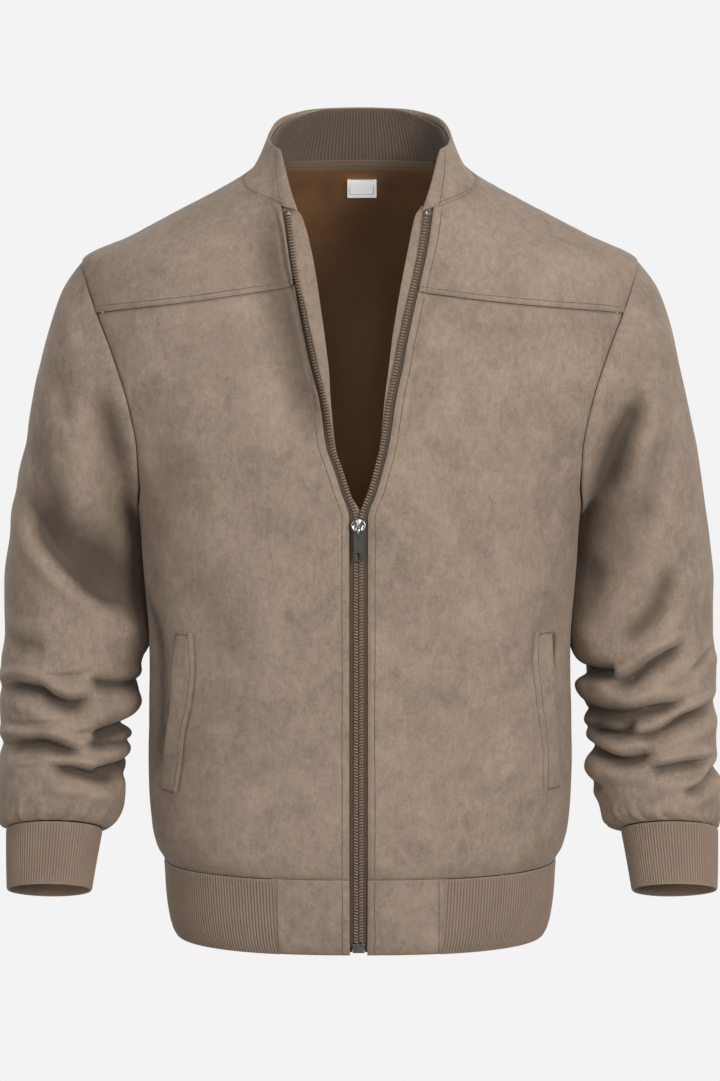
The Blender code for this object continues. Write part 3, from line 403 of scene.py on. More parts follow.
def crease_push(x, z, creases):
    """How far the creases push the cloth in and down, at places seen from the front."""
    x, z = paired(x, z)
    push, slip = np.zeros(x.shape), np.zeros(x.shape)
    for crease in creases:
        line = crease_line(crease.points)
        reach = 3.2 * max(crease.upper, crease.lower)
        low, high = line.min(0) - reach, line.max(0) + reach
        near = (x > low[0]) & (x < high[0]) & (z > low[1]) & (z < high[1])
        if not near.any():
            continue
        run = np.diff(line, axis=0)
        length = np.hypot(run[:, 0], run[:, 1])
        passed = np.concatenate([[0], np.cumsum(length)])
        offset_x = x[near][:, None] - line[:-1, 0]
        offset_z = z[near][:, None] - line[:-1, 1]
        share = np.clip((offset_x * run[:, 0] + offset_z * run[:, 1]) / length**2, 0, 1)
        away = np.hypot(offset_x - share * run[:, 0], offset_z - share * run[:, 1])
        best = away.argmin(1)
        row = np.arange(len(best))
        hand = np.sign(run[best, 0] * offset_z[row, best] - run[best, 1] * offset_x[row, best])
        across = away[row, best] * hand * np.sign(line[-1, 0] - line[0, 0] + 1e-9)
        along = (passed[best] + share[row, best] * length[best]) / passed[-1]
        fade = smooth_step(0, CREASE_FADE, along) * smooth_step(0, CREASE_FADE, 1 - along)
        width = np.where(across > 0, crease.upper, crease.lower)
        trough = np.exp(-np.abs(across / width) ** 1.7)
        roll = crease.roll * bell(np.abs(across), 0.95 * width, 2.0 * width)
        push[near] += crease.depth * fade * (trough - roll)
        slip[near] += CREASE_SLIP * crease.depth * fade * bell(across, 0.9 * crease.upper, 0.9 * crease.upper)
    return push, slip


def ripple(x, z):
    """The slight unevenness of cloth that hangs, a sum of long shallow waves."""
    return (
        0.9 * np.sin(x / 31 + 1.3 * np.sin(z / 74)) * np.sin(z / 58 + 0.7)
        + 0.45 * np.sin(x / 13.7 + z / 29 + 2.1) * np.sin(z / 37 - x / 51)
        + 0.18 * np.sin(x / 6.1 - z / 11.3) * np.sin(z / 17 + x / 23 + 1.1)
    )


def plain_radius(angle, height):
    """How far the body without its creases stands from its middle line."""
    cosine, sine = wave_of(angle)
    half_depth = np.where(cosine > 0, read(BODY, "front", height), read(BODY, "back", height))
    side = np.abs(sine) / read(BODY, "half_width", height)
    depth = np.abs(cosine) / half_depth
    return (side**SQUARENESS + depth**SQUARENESS) ** (-1 / SQUARENESS)


def body_surface(angle, height):
    """A point of the body, by its angle in degrees from the front centre towards +X, and its height."""
    angle, height = paired(angle, height)
    cosine, sine = wave_of(angle)
    radius = plain_radius(angle, height)
    x = radius * sine
    for facing, creases in ((cosine, BODY_CREASES), (-cosine, BACK_CREASES)):
        radius = radius - smooth_step(0.05, 0.5, facing) * crease_push(x, height, creases)[0]
    return np.stack([radius * sine, -radius * cosine, height + 0 * radius], -1)


def angle_at(x, height, behind=False):
    """The angle at which the body stands this far from the centre line, found by halving."""
    x, height, behind = np.broadcast_arrays(x, height, behind)
    hand = np.where(np.asarray(x) < 0, -1.0, 1.0)
    low = np.zeros(x.shape)
    high = low + SIDE_SEAM
    for _ in range(HALVINGS):
        middle = (low + high) / 2
        turned = np.where(behind, 180 - middle, middle)
        short = hand * plain_radius(hand * turned, height) * wave_of(hand * turned)[1] < np.abs(x)
        low = np.where(short, middle, low)
        high = np.where(short, high, middle)
    return hand * np.where(behind, 180 - high, high)


def front_surface(x, height):
    """A point of the front, by its distance across and its height."""
    return body_surface(angle_at(x, height), height)


def back_surface(x, height):
    """A point of the back, by its distance across and its height, read so that the normal points out."""
    return body_surface(angle_at(-np.asarray(x, float), height, True), height)


def folded_angle(angle):
    """The angle from the front centre, the same on both sides."""
    return 180 - np.abs(np.asarray(angle, float) % 360 - 180)


def neck_height(angle):
    """The height of the neck seam at an angle from the front centre."""
    return read(NECK_SEAM, "height", folded_angle(angle))


def collar_surface(angle, rise):
    """A point of the collar, by its angle on the neck seam and its share of the way up to the edge."""
    angle, rise = paired(angle, rise)
    around = folded_angle(angle)
    share = (around - COLLAR_FRONT_ANGLE) / (180 - COLLAR_FRONT_ANGLE)
    edge_angle = COLLAR_EDGE[0].angle + share * (180 - COLLAR_EDGE[0].angle)
    cosine, sine = wave_of(np.where(angle % 360 > 180, 360 - edge_angle, edge_angle))
    radius = read(COLLAR_EDGE, "radius", edge_angle)
    edge = np.stack([radius * sine, -radius * cosine, read(COLLAR_EDGE, "height", edge_angle)], -1)
    seam = body_surface(angle, neck_height(angle))
    rise = rise[..., None]
    hollow = COLLAR_HOLLOW * bell(around, 26, 84)[..., None] * np.sin(np.pi * np.clip(rise, 0, 1) ** 0.75)
    bulge = COLLAR_BULGE * 4 * rise * (1 - rise) - hollow
    cosine, sine = wave_of(angle)
    return seam + (edge - seam) * rise + bulge * np.stack([sine, -cosine, 0 * sine], -1)


def collar_inside(angle, rise):
    """The collar's surface read the other way round, so that its normal points to the neck."""
    return collar_surface(360 - np.asarray(angle, float), rise)


def armhole_height(turn):
    """The height of the armhole seam at an angle round the sleeve, from its outer line over the front."""
    middle = (SHOULDER_TIP_HEIGHT + UNDERARM_HEIGHT) / 2
    return middle + (SHOULDER_TIP_HEIGHT - UNDERARM_HEIGHT) / 2 * np.cos(np.radians(turn))


def armhole_angle(turn, side):
    """The body's angle at a place on the armhole seam."""
    turn = np.asarray(turn, float) % 360
    behind = turn > 180
    height = armhole_height(turn)
    reach = np.where(behind, read(ARMHOLE, "back", height), read(ARMHOLE, "front", height))
    found = angle_at(side * reach, height, behind)
    at_end = np.abs(np.sin(np.radians(turn))) < 1e-6
    return np.where(at_end, side * SIDE_SEAM, found)


def sleeve_surface(side_name):
    """The surface of a sleeve, mirrored to stand at +X, by its angle and its row in the sleeve's table."""
    side = SIDES[side_name]
    last = len(SLEEVE) - 1

    def tube(cosine, sine, row):
        """A point of the sleeve without its creases, and half the way across it."""
        columns = ("outer_" + side_name, "outer_height", "inner_" + side_name, "inner_height")
        outer_x, outer_z, inner_x, inner_z = (read_row(SLEEVE, column, row) for column in columns)
        forward, deep, lean = (read_row(SLEEVE, column, row) for column in ("forward", "half_depth", "lean"))
        middle = np.stack([(outer_x + inner_x) / 2, -forward, (outer_z + inner_z) / 2], -1)
        half = np.stack([(outer_x - inner_x) / 2, 0 * row, (outer_z - inner_z) / 2], -1)
        lean_cosine, lean_sine = wave_of(lean)
        front = np.stack([0 * row, -lean_cosine, lean_sine], -1)
        return middle + cosine[..., None] * half + (sine * deep)[..., None] * front, half

    def surface(turn, row):
        turn, row = paired(turn, row)
        cosine, sine = wave_of(turn)
        point, half = tube(cosine, sine, row)
        seam = body_surface(armhole_angle(turn, side), armhole_height(turn))
        seam[..., 0] *= side
        weight = (1 - np.clip(row / ARMHOLE_BLEND_ROWS, 0, 1)) ** 2
        point = point + weight[..., None] * (seam - tube(cosine, sine, 0 * row)[0])
        x, level = point[..., 0], point[..., 2]
        fade = smooth_step(0.0, 2.0, row) * smooth_step(0.0, 1.2, last - row)
        shown = crease_push(side * x, level, SLEEVE_CREASES[side_name])
        unseen = crease_push(-side * x, level, SLEEVE_CREASES[OTHER_SIDE[side_name]])
        weights = smooth_step(-0.6, -0.05, sine), smooth_step(0.0, 0.5, -sine)
        push, slip = (
            SLEEVE_CREASE_SCALE * fade * (weights[0] * front + weights[1] * behind)
            for front, behind in zip(shown, unseen)
        )
        push = push - smooth_step(0.0, 3.0, row) * 0.8 * ripple(1.3 * turn + 40 * side, level)
        gather = smooth_step(last - 2.4, last - 0.6, row) * smooth_step(0, 0.5, last - row)
        wave = np.sin(np.radians(17 * turn + 60 * np.sin(np.radians(2 * turn + 50 * side))))
        push = push + gather * (0.9 * wave + 0.5 * np.sin(np.radians(31 * turn + 20)))
        away = cosine[..., None] * unit(half) + sine[..., None] * np.array((0.0, -1.0, 0.0))
        near_body = smooth_step(0.35, 0.85, -cosine) * smooth_step(-428, -398, level)
        fill = (9 + 11 * smooth_step(0, 0.5, -sine)) * smooth_step(285, 325, -level) * near_body
        push = push * (1 - 0.85 * smooth_step(0.5, 0.95, -cosine) * smooth_step(-432, -402, level))
        valley = crease_push(side * x, level, SLEEVE_VALLEYS[side_name])[0]
        sink = fade * smooth_step(-0.25, 0.55, sine) * valley
        point = point - push[..., None] * away + np.stack([-fill, sink, -slip], -1)
        # Beside the point, the depth that the suede's finish paints as shade: the creases' push and part of the
        # valleys' sink.
        return point, push + 0.35 * sink

    return surface


def cuff_surface(side_name):
    """The surface of a cuff, mirrored to stand at +X, by its angle and its share of the way down."""
    top = SLEEVE[-1]
    outer, inner = getattr(top, "outer_" + side_name), getattr(top, "inner_" + side_name)
    lean_cosine, lean_sine = wave_of(top.lean)

    def surface(turn, drop):
        turn, drop = paired(turn, drop)
        cosine, sine = wave_of(turn)
        half_width = (outer - inner) / 2 - CUFF_TAPER * drop
        half_depth = top.half_depth - CUFF_TAPER * drop
        x = (outer + inner) / 2 + CUFF_OUTWARD * drop + half_width * cosine
        y = -top.forward - CUFF_LENGTH * lean_sine * drop - half_depth * sine * lean_cosine
        z = top.outer_height - CUFF_LENGTH * lean_cosine * drop + half_depth * sine * lean_sine
        return np.stack([x, y, z], -1)

    return surface


def blend_rows(bottom, top, start, end, across, up):
    """A Coons patch whose rows and columns stand at uneven shares."""
    across = np.asarray(across)[None, :, None]
    up = np.asarray(up)[:, None, None]
    ruled_up = (1 - up) * bottom[None] + up * top[None]
    ruled_across = (1 - across) * start[:, None] + across * end[:, None]
    corners = (1 - across) * ((1 - up) * bottom[0] + up * top[0])
    corners = corners + across * ((1 - up) * bottom[-1] + up * top[-1])
    return ruled_up + ruled_across - corners


def edge_shares(cells, length):
    """Rising shares from 0 to 1 with short steps by both ends, where a seam rolls the cloth in."""
    steps = np.array((0.0, 0.4, 0.9, 1.6, 2.6)) / length
    inner = np.linspace(steps[-1], 1 - steps[-1], cells - 7)[1:-1]
    return np.concatenate([steps, inner, 1 - steps[::-1]])


def front_edge(side_name, height):
    """Where a front's edge stands beside the zip."""
    return SIDES[side_name] * (read(OPENING, side_name, height) + ZIP_EDGE_INSET)


def front_edge_angle(side_name, height):
    """The body's angle at a front's edge beside the zip."""
    return angle_at(front_edge(side_name, height), height)


def yoke_line(side_name, shares):
    """The yoke seam from the zip to the armhole, as angles and heights."""
    side = SIDES[side_name]
    start_height = YOKE_SEAM[side_name]
    heights = start_height + (armhole_height(YOKE_TURN) - start_height) * shares
    start = float(front_edge_angle(side_name, start_height))
    end = float(armhole_angle(YOKE_TURN, side))
    return np.stack([start + (end - start) * shares, heights], -1)


def armhole_stations(side_name, turns):
    """Places on the armhole seam as angles and heights."""
    turns = np.asarray(turns, float)
    return np.stack([armhole_angle(turns, SIDES[side_name]), armhole_height(turns)], -1)


def zip_side(side_name, heights):
    """Places along a front's edge beside the zip, as angles and heights."""
    return np.stack([front_edge_angle(side_name, heights), heights], -1)


def neck_angles(side_name, shares):
    """The angles of the front neck seam's points, from the zip to the shoulder seam."""
    start = abs(float(front_edge_angle(side_name, NECK_FRONT_HEIGHT)))
    return SIDES[side_name] * (start + (SIDE_SEAM - start) * shares)


def normals_of(grid, closed=False):
    """The outward directions of a grid of points, whose first axis goes up and second goes round to the right."""
    if closed:
        across = np.roll(grid, -1, 1) - np.roll(grid, 1, 1)
    else:
        across = np.gradient(grid, axis=1)
    normal = np.cross(across, np.gradient(grid, axis=0))
    return normal / np.maximum(np.linalg.norm(normal, axis=-1, keepdims=True), 1e-9)


def edge_distance(grid, closed=False):
    """How far each point lies from the nearest free edge, along the grid's lines."""
    down = np.linalg.norm(np.diff(grid, axis=0), axis=-1)
    down = np.concatenate([np.zeros((1, grid.shape[1])), np.cumsum(down, 0)])
    nearest = np.minimum(down, down[-1] - down)
    if not closed:
        over = np.linalg.norm(np.diff(grid, axis=1), axis=-1)
        over = np.concatenate([np.zeros((grid.shape[0], 1)), np.cumsum(over, 1)], 1)
        nearest = np.minimum(nearest, np.minimum(over, over[:, -1:] - over))
    return nearest


def inset(grid, distance, closed=False):
    """The grid with its free edges drawn in, which leaves the gap at each seam."""
    before, grid = grid, grid.copy()
    for edge, neighbour in ((0, 1), (-1, -2)):
        grid[edge] += distance * unit(before[neighbour] - before[edge])
        if not closed:
            grid[:, edge] += distance * unit(before[:, neighbour] - before[:, edge])
    return grid


def outward(grid, closed=False, facing=1):
    """The grid's normals, turned away from the jacket's hollow, or towards it where facing is -1."""
    normal = normals_of(grid, closed)
    middle = grid.mean(axis=1, keepdims=True) if closed else np.zeros(3)
    away = (grid - middle) * np.array((1, 1, 1 if closed else 0))
    return normal * facing * math.copysign(1, float((normal * away).sum()))


def bumpy(grid, size):
    """The grid with the slight unevenness of hanging cloth, which fades out by its free edges."""
    calm = smooth_step(0, 12, edge_distance(grid))
    return grid + (size * calm * ripple(grid[..., 0], grid[..., 2]))[..., None] * outward(grid)


def block_faces(numbers, closed):
    """Quads over a block of point numbers, row by row."""
    beside = np.roll(numbers, -1, 1) if closed else numbers[:, 1:]
    numbers = numbers if closed else numbers[:, :-1]
    quads = np.stack([numbers[:-1], beside[:-1], beside[1:], numbers[1:]], -1)
    return quads.reshape(-1, 4).tolist()


def rim_faces(fine, coarse, step):
    """Faces between a rim's fine points and the fewer points behind them."""
    cells = range(len(coarse) - 1)
    return [[*fine[cell * step : (cell + 1) * step + 1], coarse[cell + 1], coarse[cell]] for cell in cells]


def face_out(mesh, *others):
    """Joins other meshes to a mesh, and turns all its faces outwards."""
    work = bmesh.new()
    for part in (mesh, *others):
        work.from_mesh(part)
    bmesh.ops.recalc_face_normals(work, faces=work.faces)
    work.to_mesh(mesh)
    work.free()
    mesh.shade_smooth()


def set_values(mesh, title, values):
    """Gives each of a mesh's points a value that its material or its tree reads."""
    field = mesh.attributes.new(title, "FLOAT", "POINT")
    field.data.foreach_set("value", np.asarray(values, np.float32).ravel())


def add_object(name, data):
    """An object of a mesh, a light or a camera, in the scene."""
    thing = bpy.data.objects.new(name, data)
    bpy.context.scene.collection.objects.link(thing)
    return thing


def wall_object(name, outer, inner, looks, closed=False, side=1, step=(1, 1), values=None):
    """A closed wall between a fine outer grid and a coarser inner one, as an object in metres."""
    rows, columns = outer.shape[:2]
    inner = inner[:: step[0], :: step[1]]
    front = np.arange(rows * columns).reshape(rows, columns)
    behind = rows * columns + np.arange(inner.shape[0] * inner.shape[1]).reshape(inner.shape[:2])
    faces = block_faces(front, closed)
    for row in (0, -1):
        fine, coarse = list(front[row]), list(behind[row])
        if closed:
            fine.append(fine[0])
            coarse.append(coarse[0])
        faces += rim_faces(fine, coarse, step[1])
    if not closed:
        for column in (0, -1):
            faces += rim_faces(list(front[:, column]), list(behind[:, column]), step[0])
    inside_starts = len(faces)
    faces += [face[::-1] for face in block_faces(behind, closed)]
    points = np.concatenate([outer.reshape(-1, 3), inner.reshape(-1, 3)]) * MM
    points[:, 0] *= side
    mesh = bpy.data.meshes.new(name + "_cloth")
    mesh.from_pydata(points.tolist(), [], faces)
    for look in looks:
        mesh.materials.append(bpy.data.materials[look])
    if len(looks) > 1:
        slots = np.zeros(len(faces), np.int32)
        slots[inside_starts:] = 1
        mesh.polygons.foreach_set("material_index", slots)
    for title, field in (values or {}).items():
        field = np.broadcast_to(field, outer.shape[:2])
        set_values(mesh, title, np.concatenate([field.ravel(), field[:: step[0], :: step[1]].ravel()]))
    face_out(mesh)
    mesh.set_sharp_from_angle(angle=math.radians(SHARP_EDGE))
    return add_object(name + "_cloth", mesh)


def finish_piece(name, thing, solid=True):
    """Puts a piece on the jacket's body, in place of its plain solid."""
    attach(thing, JACKET)
    if solid:
        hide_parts(name)


def note_cut(grid, closed=False):
    """Measures a piece's flat width and length along its surface, at its widest and longest; it keeps and returns
    nothing.
    """
    loop = np.concatenate([grid, grid[:, :1]], 1) if closed else grid
    width = np.linalg.norm(np.diff(loop, axis=1), axis=-1).sum(1)
    length = np.linalg.norm(np.diff(grid, axis=0), axis=-1).sum(0)
    across = np.cross(loop[:-1, 1:] - loop[:-1, :-1], loop[1:, :-1] - loop[:-1, :-1])
    width, length = float(width.max()) * MM, float(length.max()) * MM


def suede_panel(name, grid, crease=0.0, lift=0.0, roll=0.9, thick=SUEDE, lined=True, side=0):
    """A panel of suede with edges that roll into their seams, slight puckers beside them and a coarser inside,
    painted shade by its seams and in its creases.

    A side makes it a closed tube, which stands on that side.
    """
    closed = side != 0
    normal = outward(grid, closed)
    apart = edge_distance(grid, closed)
    x, y, z = np.moveaxis(grid, -1, 0)
    pucker = np.sin(x / 2.6 + 1.9 * np.sin(z / 7)) * np.sin(z / 2.9 + y / 5)
    lift = np.broadcast_to(lift, grid.shape[:2])
    out = lift + 0.16 * pucker * bell(apart, 4, 5) - roll * bell(apart, 1.5)
    outer = inset(grid + out[..., None] * normal, SEAM_GAP / 2, closed)
    inner = inset(grid + (lift - thick)[..., None] * normal, 0.6, closed)
    looks = ("faux suede", "lining") if lined else ("faux suede",)
    # Crease carries the painted shade in creases and the painted highlight on ridges; edge carries painted shade
    # along the seams.
    values = {"crease": crease, "edge": bell(apart, 3.0)}
    thing = wall_object(name, outer, inner, looks, closed, side or 1, (2, 2), values)
    note_cut(grid, closed)
    finish_piece(name, thing)


def thin_piece(
    name, grid, normal, shown, hidden, look, slot, held=None, rests_on=(), gap=0.0, solid=True, values=None
):
    """A piece of one thin layer, between two distances out from a grid."""
    front, back = (grid + np.broadcast_to(out, grid.shape[:2])[..., None] * normal for out in (shown, hidden))
    note_cut(front)
    if gap:
        front, back = inset(front, gap), inset(back, gap)
    thing = wall_object(name, front, back, (look,), values=values)
    finish_piece(name, thing, solid)


class Value:
    """A value in a node tree. Its operators add Math nodes."""

    def __init__(self, nodes, socket):
        self.nodes = nodes
        self.socket = socket

    def math(self, operation, *others):
        return self.nodes.add("ShaderNodeMath", {"operation": operation}, dict(enumerate((self, *others))))

    def __add__(self, other):
        return self.math("ADD", other)

    __radd__ = __add__

    def __sub__(self, other):
        return self.math("SUBTRACT", other)

    def __rsub__(self, other):
        return self.nodes.add("ShaderNodeMath", {"operation": "SUBTRACT"}, {0: other, 1: self})

    def __mul__(self, other):
        return self.math("MULTIPLY", other)

    __rmul__ = __mul__

    def __pow__(self, power):
        return self.math("POWER", power)

    def spread(self, low, high):
        """This value drawn out so that low becomes 0 and high becomes 1, and cut off there."""
        return self.nodes.add("ShaderNodeMapRange", {}, {"Value": self, "From Min": low, "From Max": high})


class Nodes:
    """A node tree, for a finish or for a shape."""

    def __init__(self, tree):
        self.tree = tree

    def add(self, kind, settings, values, output=0):
        """One node of any kind: its settings first, then its sockets' values or links."""
        node = self.tree.nodes.new(kind)
        for name, setting in settings.items():
            setattr(node, name, setting)
        for name, value in values.items():
            if isinstance(value, Value):
                self.tree.links.new(value.socket, node.inputs[name])
            else:
                node.inputs[name].default_value = value
        return Value(self, node.outputs[output])


class Look(Nodes):
    """A material for one finish, with its node tree."""

    def __init__(self, name, **constants):
        self.material = bpy.data.materials.get(name) or bpy.data.materials.new(name)
        self.material.use_nodes = True
        super().__init__(self.material.node_tree)
        self.tree.nodes.clear()
        self.shader = self.tree.nodes.new("ShaderNodeBsdfPrincipled")
        output = self.tree.nodes.new("ShaderNodeOutputMaterial")
        self.tree.links.new(self.shader.outputs[0], output.inputs["Surface"])
        for socket, constant in constants.items():
            self.socket(socket).default_value = constant
        self.place = self.add("ShaderNodeTexCoord", {}, {}, "Object")

    def socket(self, name):
        return self.shader.inputs[name.replace("_", " ").title().replace("Ior", "IOR")]

    def stretched(self, scale):
        """The place on the piece, with its axes drawn out or pressed together."""
        return self.add("ShaderNodeMapping", {}, {"Vector": self.place, "Scale": scale})

    def noise(self, scale, detail=2.0, roughness=0.5, distortion=0.0, place=None):
        """A cloudy value from 0 to 1 whose largest blots are one over the scale, in metres."""
        values = {"Vector": place or self.place, "Scale": scale, "Detail": detail}
        values.update({"Roughness": roughness, "Distortion": distortion})
        return self.add("ShaderNodeTexNoise", {}, values)

    def field(self, name):
        """A value that the piece's mesh carries at its points."""
        return self.add("ShaderNodeAttribute", {"attribute_name": name}, {}, "Fac")

    def blend(self, share, low, high):
        """Two colours mixed by a share."""
        ends = {0: share, 6: low, 7: high}
        ends = {key: (*end, 1.0) if isinstance(end, tuple) and len(end) == 3 else end for key, end in ends.items()}
        return self.add("ShaderNodeMix", {"data_type": "RGBA"}, ends, 2)

    def bump(self, height, distance, strength=1.0):
        values = {"Height": height, "Distance": distance * MM, "Strength": strength}
        return self.add("ShaderNodeBump", {}, values)

    def paint(self, **links):
        """Feeds the shader's sockets."""
        for name, value in links.items():
            self.tree.links.new(value.socket, self.socket(name))
        return self.material


def shade(colour, factor):
    """A lighter or darker colour of the same hue."""
    return tuple(channel * factor for channel in colour)


def suede_look(name, colour, mottle):
    """Brushed faux suede: cloudy nap, small scuffs, painted shade in creases and by seams, painted highlight on
    ridges.
    """
    sheen = {"sheen_weight": 0.22, "sheen_roughness": 0.45, "sheen_tint": (0.9, 0.8, 0.7, 1)}
    look = Look(name, specular_ior_level=0.2, **sheen)
    wide = look.noise(21, 3.0, 0.55, 0.6)
    cloud = look.noise(46, 4.0, 0.6, 0.9, look.stretched((1, 1, 0.8)))
    blot = look.noise(150, 4.0, 0.65, 0.5)
    stroke = look.noise(260, 3.0, 0.6, 0.3, look.stretched((1.0, 1.0, 0.45)))
    grain = look.noise(1050, 3.0, 0.75)
    tone = wide.spread(0.32, 0.68) * 0.26 + cloud.spread(0.35, 0.65) * 0.26 + blot.spread(0.32, 0.68) * 0.24
    tone = tone + stroke.spread(0.32, 0.68) * 0.24
    base = look.blend(tone, shade(colour, 1 - mottle), shade(colour, 1 + mottle))
    hue = look.noise(17, 2.0, 0.5, 0.0)
    base = look.blend(hue.spread(0.35, 0.65) * 0.12, base, shade(GREYER_NAP, 0.9))
    base = look.blend((grain - 0.5).spread(0.0, 0.22) * 0.42, base, shade(colour, 1.5))
    base = look.blend((0.5 - grain).spread(0.0, 0.22) * 0.46, base, shade(colour, 0.55))
    # Painted shade deep in the creases, and a painted highlight on the ridges rolled up beside them.
    crease = look.field("crease")
    base = look.blend(crease.spread(0.1, 1.05) * 0.8, base, shade(colour, 0.2))
    base = look.blend((crease * -1).spread(0.02, 0.4) * 0.3, base, shade(colour, 1.22))
    # Painted shade along the seams, where the edges roll in.
    base = look.blend(look.field("edge") * 0.22, base, shade(colour, 0.72))
    nap = look.noise(2600, 3.0, 0.7) + look.noise(620, 3.0, 0.6) * 1.2
    rough = look.noise(70, 3.0) * 0.14 + 0.8
    return look.paint(base_color=base, roughness=rough, normal=look.bump(nap, 0.34, 0.6))


def rib_look(name, colour):
    """Rib knit: painted shade in the grooves between the ribs, small courses across them, and painted shade by a
    band's shade value.
    """
    look = Look(name, roughness=0.9, sheen_weight=0.25, sheen_roughness=0.5, specular_ior_level=0.15)
    groove = look.field("groove")
    course = (look.field("course") * (2 * math.pi / COURSE_PITCH)).math("SINE")
    fuzz = look.noise(1500, 3.0, 0.65)
    cloud = look.noise(38, 3.0, 0.6)
    base = look.blend(cloud.spread(0.3, 0.7), shade(colour, 0.9), shade(colour, 1.1))
    base = look.blend(fuzz.spread(0.35, 0.7) * 0.35, base, shade(colour, 1.35))
    base = look.blend((course * 0.5 + 0.5) * 0.22, base, shade(colour, 0.62))
    # Painted shade in the grooves between the ribs.
    base = look.blend(groove * 0.6, base, shade(colour, 0.3))
    # Painted shade over a whole band by its shade value, which only the collar's rib carries.
    base = look.blend(look.field("shade"), base, shade(colour, 0.12))
    height = course * 0.35 + fuzz * 0.7
    return look.paint(base_color=base, normal=look.bump(height, 0.22, 0.6))


def lining_look(name, colour):
    """Smooth woven lining with a faint twill and soft drag lines."""
    look = Look(name, roughness=0.55, sheen_weight=0.1, specular_ior_level=0.35)
    weave = look.noise(1400, 2.0, 0.5, 0.0, look.stretched((1.0, 1.0, 0.25)))
    drag = look.noise(26, 3.0, 0.55, 0.5, look.stretched((1.0, 1.0, 0.35)))
    base = look.blend(drag.spread(0.3, 0.7), shade(colour, 0.86), shade(colour, 1.14))
    base = look.blend(weave.spread(0.4, 0.65) * 0.3, base, shade(colour, 0.7))
    height = weave * 0.5 + drag * 6
    return look.paint(base_color=base, normal=look.bump(height, 0.3, 0.5))


def woven_look(name, colour, pitch, contrast=0.35, glow=0.0):
    """A plain woven band, such as a zip's tape, a neck tape or a label; glow gives it a painted glow."""
    glowing = {"emission_strength": glow, "emission_color": (*colour, 1)}
    look = Look(name, roughness=0.8, specular_ior_level=0.25, **glowing)
    across, down = (look.add("ShaderNodeSeparateXYZ", {}, {0: look.place}, axis) for axis in "XZ")
    across, down = ((place * (2 * math.pi / (pitch * MM))).math("SINE") for place in (across, down))
    weave = (across * down) * 0.5 + 0.5
    fuzz = look.noise(1300, 3.0, 0.6)
    base = look.blend(weave * contrast, shade(colour, 1.1), shade(colour, 0.7))
    base = look.blend(fuzz.spread(0.4, 0.7) * 0.25, base, shade(colour, 1.3))
    return look.paint(base_color=base, normal=look.bump(weave + fuzz * 0.5, 0.15, 0.5))


def thread_look(name, colour):
    look = Look(name, roughness=0.7, sheen_weight=0.15)
    twist = look.noise(2400, 2.0, 0.5, 0.0, look.stretched((1.0, 1.0, 2.0)))
    base = look.blend(twist.spread(0.35, 0.65), shade(colour, 0.75), shade(colour, 1.2))
    return look.paint(base_color=base, normal=look.bump(twist, 0.1, 0.5))


def teeth_look(name, colour):
    """Moulded teeth with a slight shine and a little dirt between them."""
    look = Look(name, roughness=0.4, specular_ior_level=0.5)
    dirt = look.noise(420, 3.0, 0.6)
    base = look.blend(dirt.spread(0.35, 0.7), shade(colour, 1.1), shade(colour, 0.72))
    rough = dirt * 0.2 + 0.34
    return look.paint(base_color=base, roughness=rough)


def metal_look(name, colour, rough):
    """Plated metal with rubbed spots and fine drawn scratches."""
    look = Look(name, metallic=1.0, roughness=rough)
    rub = look.noise(190, 4.0, 0.6)
    scratch = look.noise(700, 2.0, 0.5, 0.0, look.stretched((6.0, 1.0, 0.5)))
    base = look.blend(rub.spread(0.3, 0.75), shade(colour, 0.8), shade(colour, 1.15))
    rough_map = rub * 0.18 + scratch * 0.1 + (rough - 0.12)
    return look.paint(base_color=base, roughness=rough_map, normal=look.bump(scratch, 0.04, 0.3))


def backdrop_look(name, brightness):
    glowing = {"emission_strength": 1.0, "emission_color": (*brightness, 1)}
    return Look(name, roughness=1.0, specular_ior_level=0.0, base_color=(0, 0, 0, 1), **glowing).material


class Tree(Nodes):
    """A Geometry Nodes tree with named inputs, which a piece runs once and then drops."""

    def __init__(self, name):
        super().__init__(bpy.data.node_groups.new(name, "GeometryNodeTree"))
        for way in ("INPUT", "OUTPUT"):
            self.tree.interface.new_socket("Geometry", in_out=way, socket_type="NodeSocketGeometry")
        self.start = self.tree.nodes.new("NodeGroupInput")
        self.end = self.tree.nodes.new("NodeGroupOutput")
        self.geometry = Value(self, self.start.outputs[0])

    def ask(self, name, kind):
        """A named input, as the value that it brings in."""
        self.tree.interface.new_socket(name, in_out="INPUT", socket_type=kind)
        return Value(self, self.start.outputs[name])

    def field(self, name, kind):
        """A value or direction that the piece's mesh carries at its points."""
        return self.add("GeometryNodeInputNamedAttribute", {"data_type": kind}, {"Name": name})

    def finish(self, geometry):
        """Ends the tree in real geometry with its material."""
        real = self.add("GeometryNodeRealizeInstances", {}, {"Geometry": geometry})
        values = {"Geometry": real, "Material": self.ask("Material", "NodeSocketMaterial")}
        made = self.add("GeometryNodeSetMaterial", {}, values)
        self.tree.links.new(made.socket, self.end.inputs[0])


def repeat_tree():
    """Puts a copy of one small shape on each point, turned along the seam and standing out from the cloth."""
    tree = Tree("Repeat along a seam")
    shape = tree.ask("Shape", "NodeSocketObject")
    size = tree.ask("Size", "NodeSocketFloat")
    wander = tree.ask("Wander", "NodeSocketFloat")
    info = tree.add("GeometryNodeObjectInfo", {}, {"Object": shape}, "Geometry")
    values = {"Vector": tree.field("along", "FLOAT_VECTOR")}
    along = tree.add("FunctionNodeAlignRotationToVector", {"axis": "X"}, values)
    values = {"Rotation": along, "Vector": tree.field("out", "FLOAT_VECTOR")}
    turned = tree.add("FunctionNodeAlignRotationToVector", {"axis": "Z", "pivot_axis": "X"}, values)
    values = {2: 1.0 - wander, 3: 1.0 + wander, "Seed": 7}
    chance = tree.add("FunctionNodeRandomValue", {"data_type": "FLOAT"}, values, 1)
    values = {"Points": tree.geometry, "Instance": info, "Rotation": turned, "Scale": chance * size}
    tree.finish(tree.add("GeometryNodeInstanceOnPoints", {}, values))


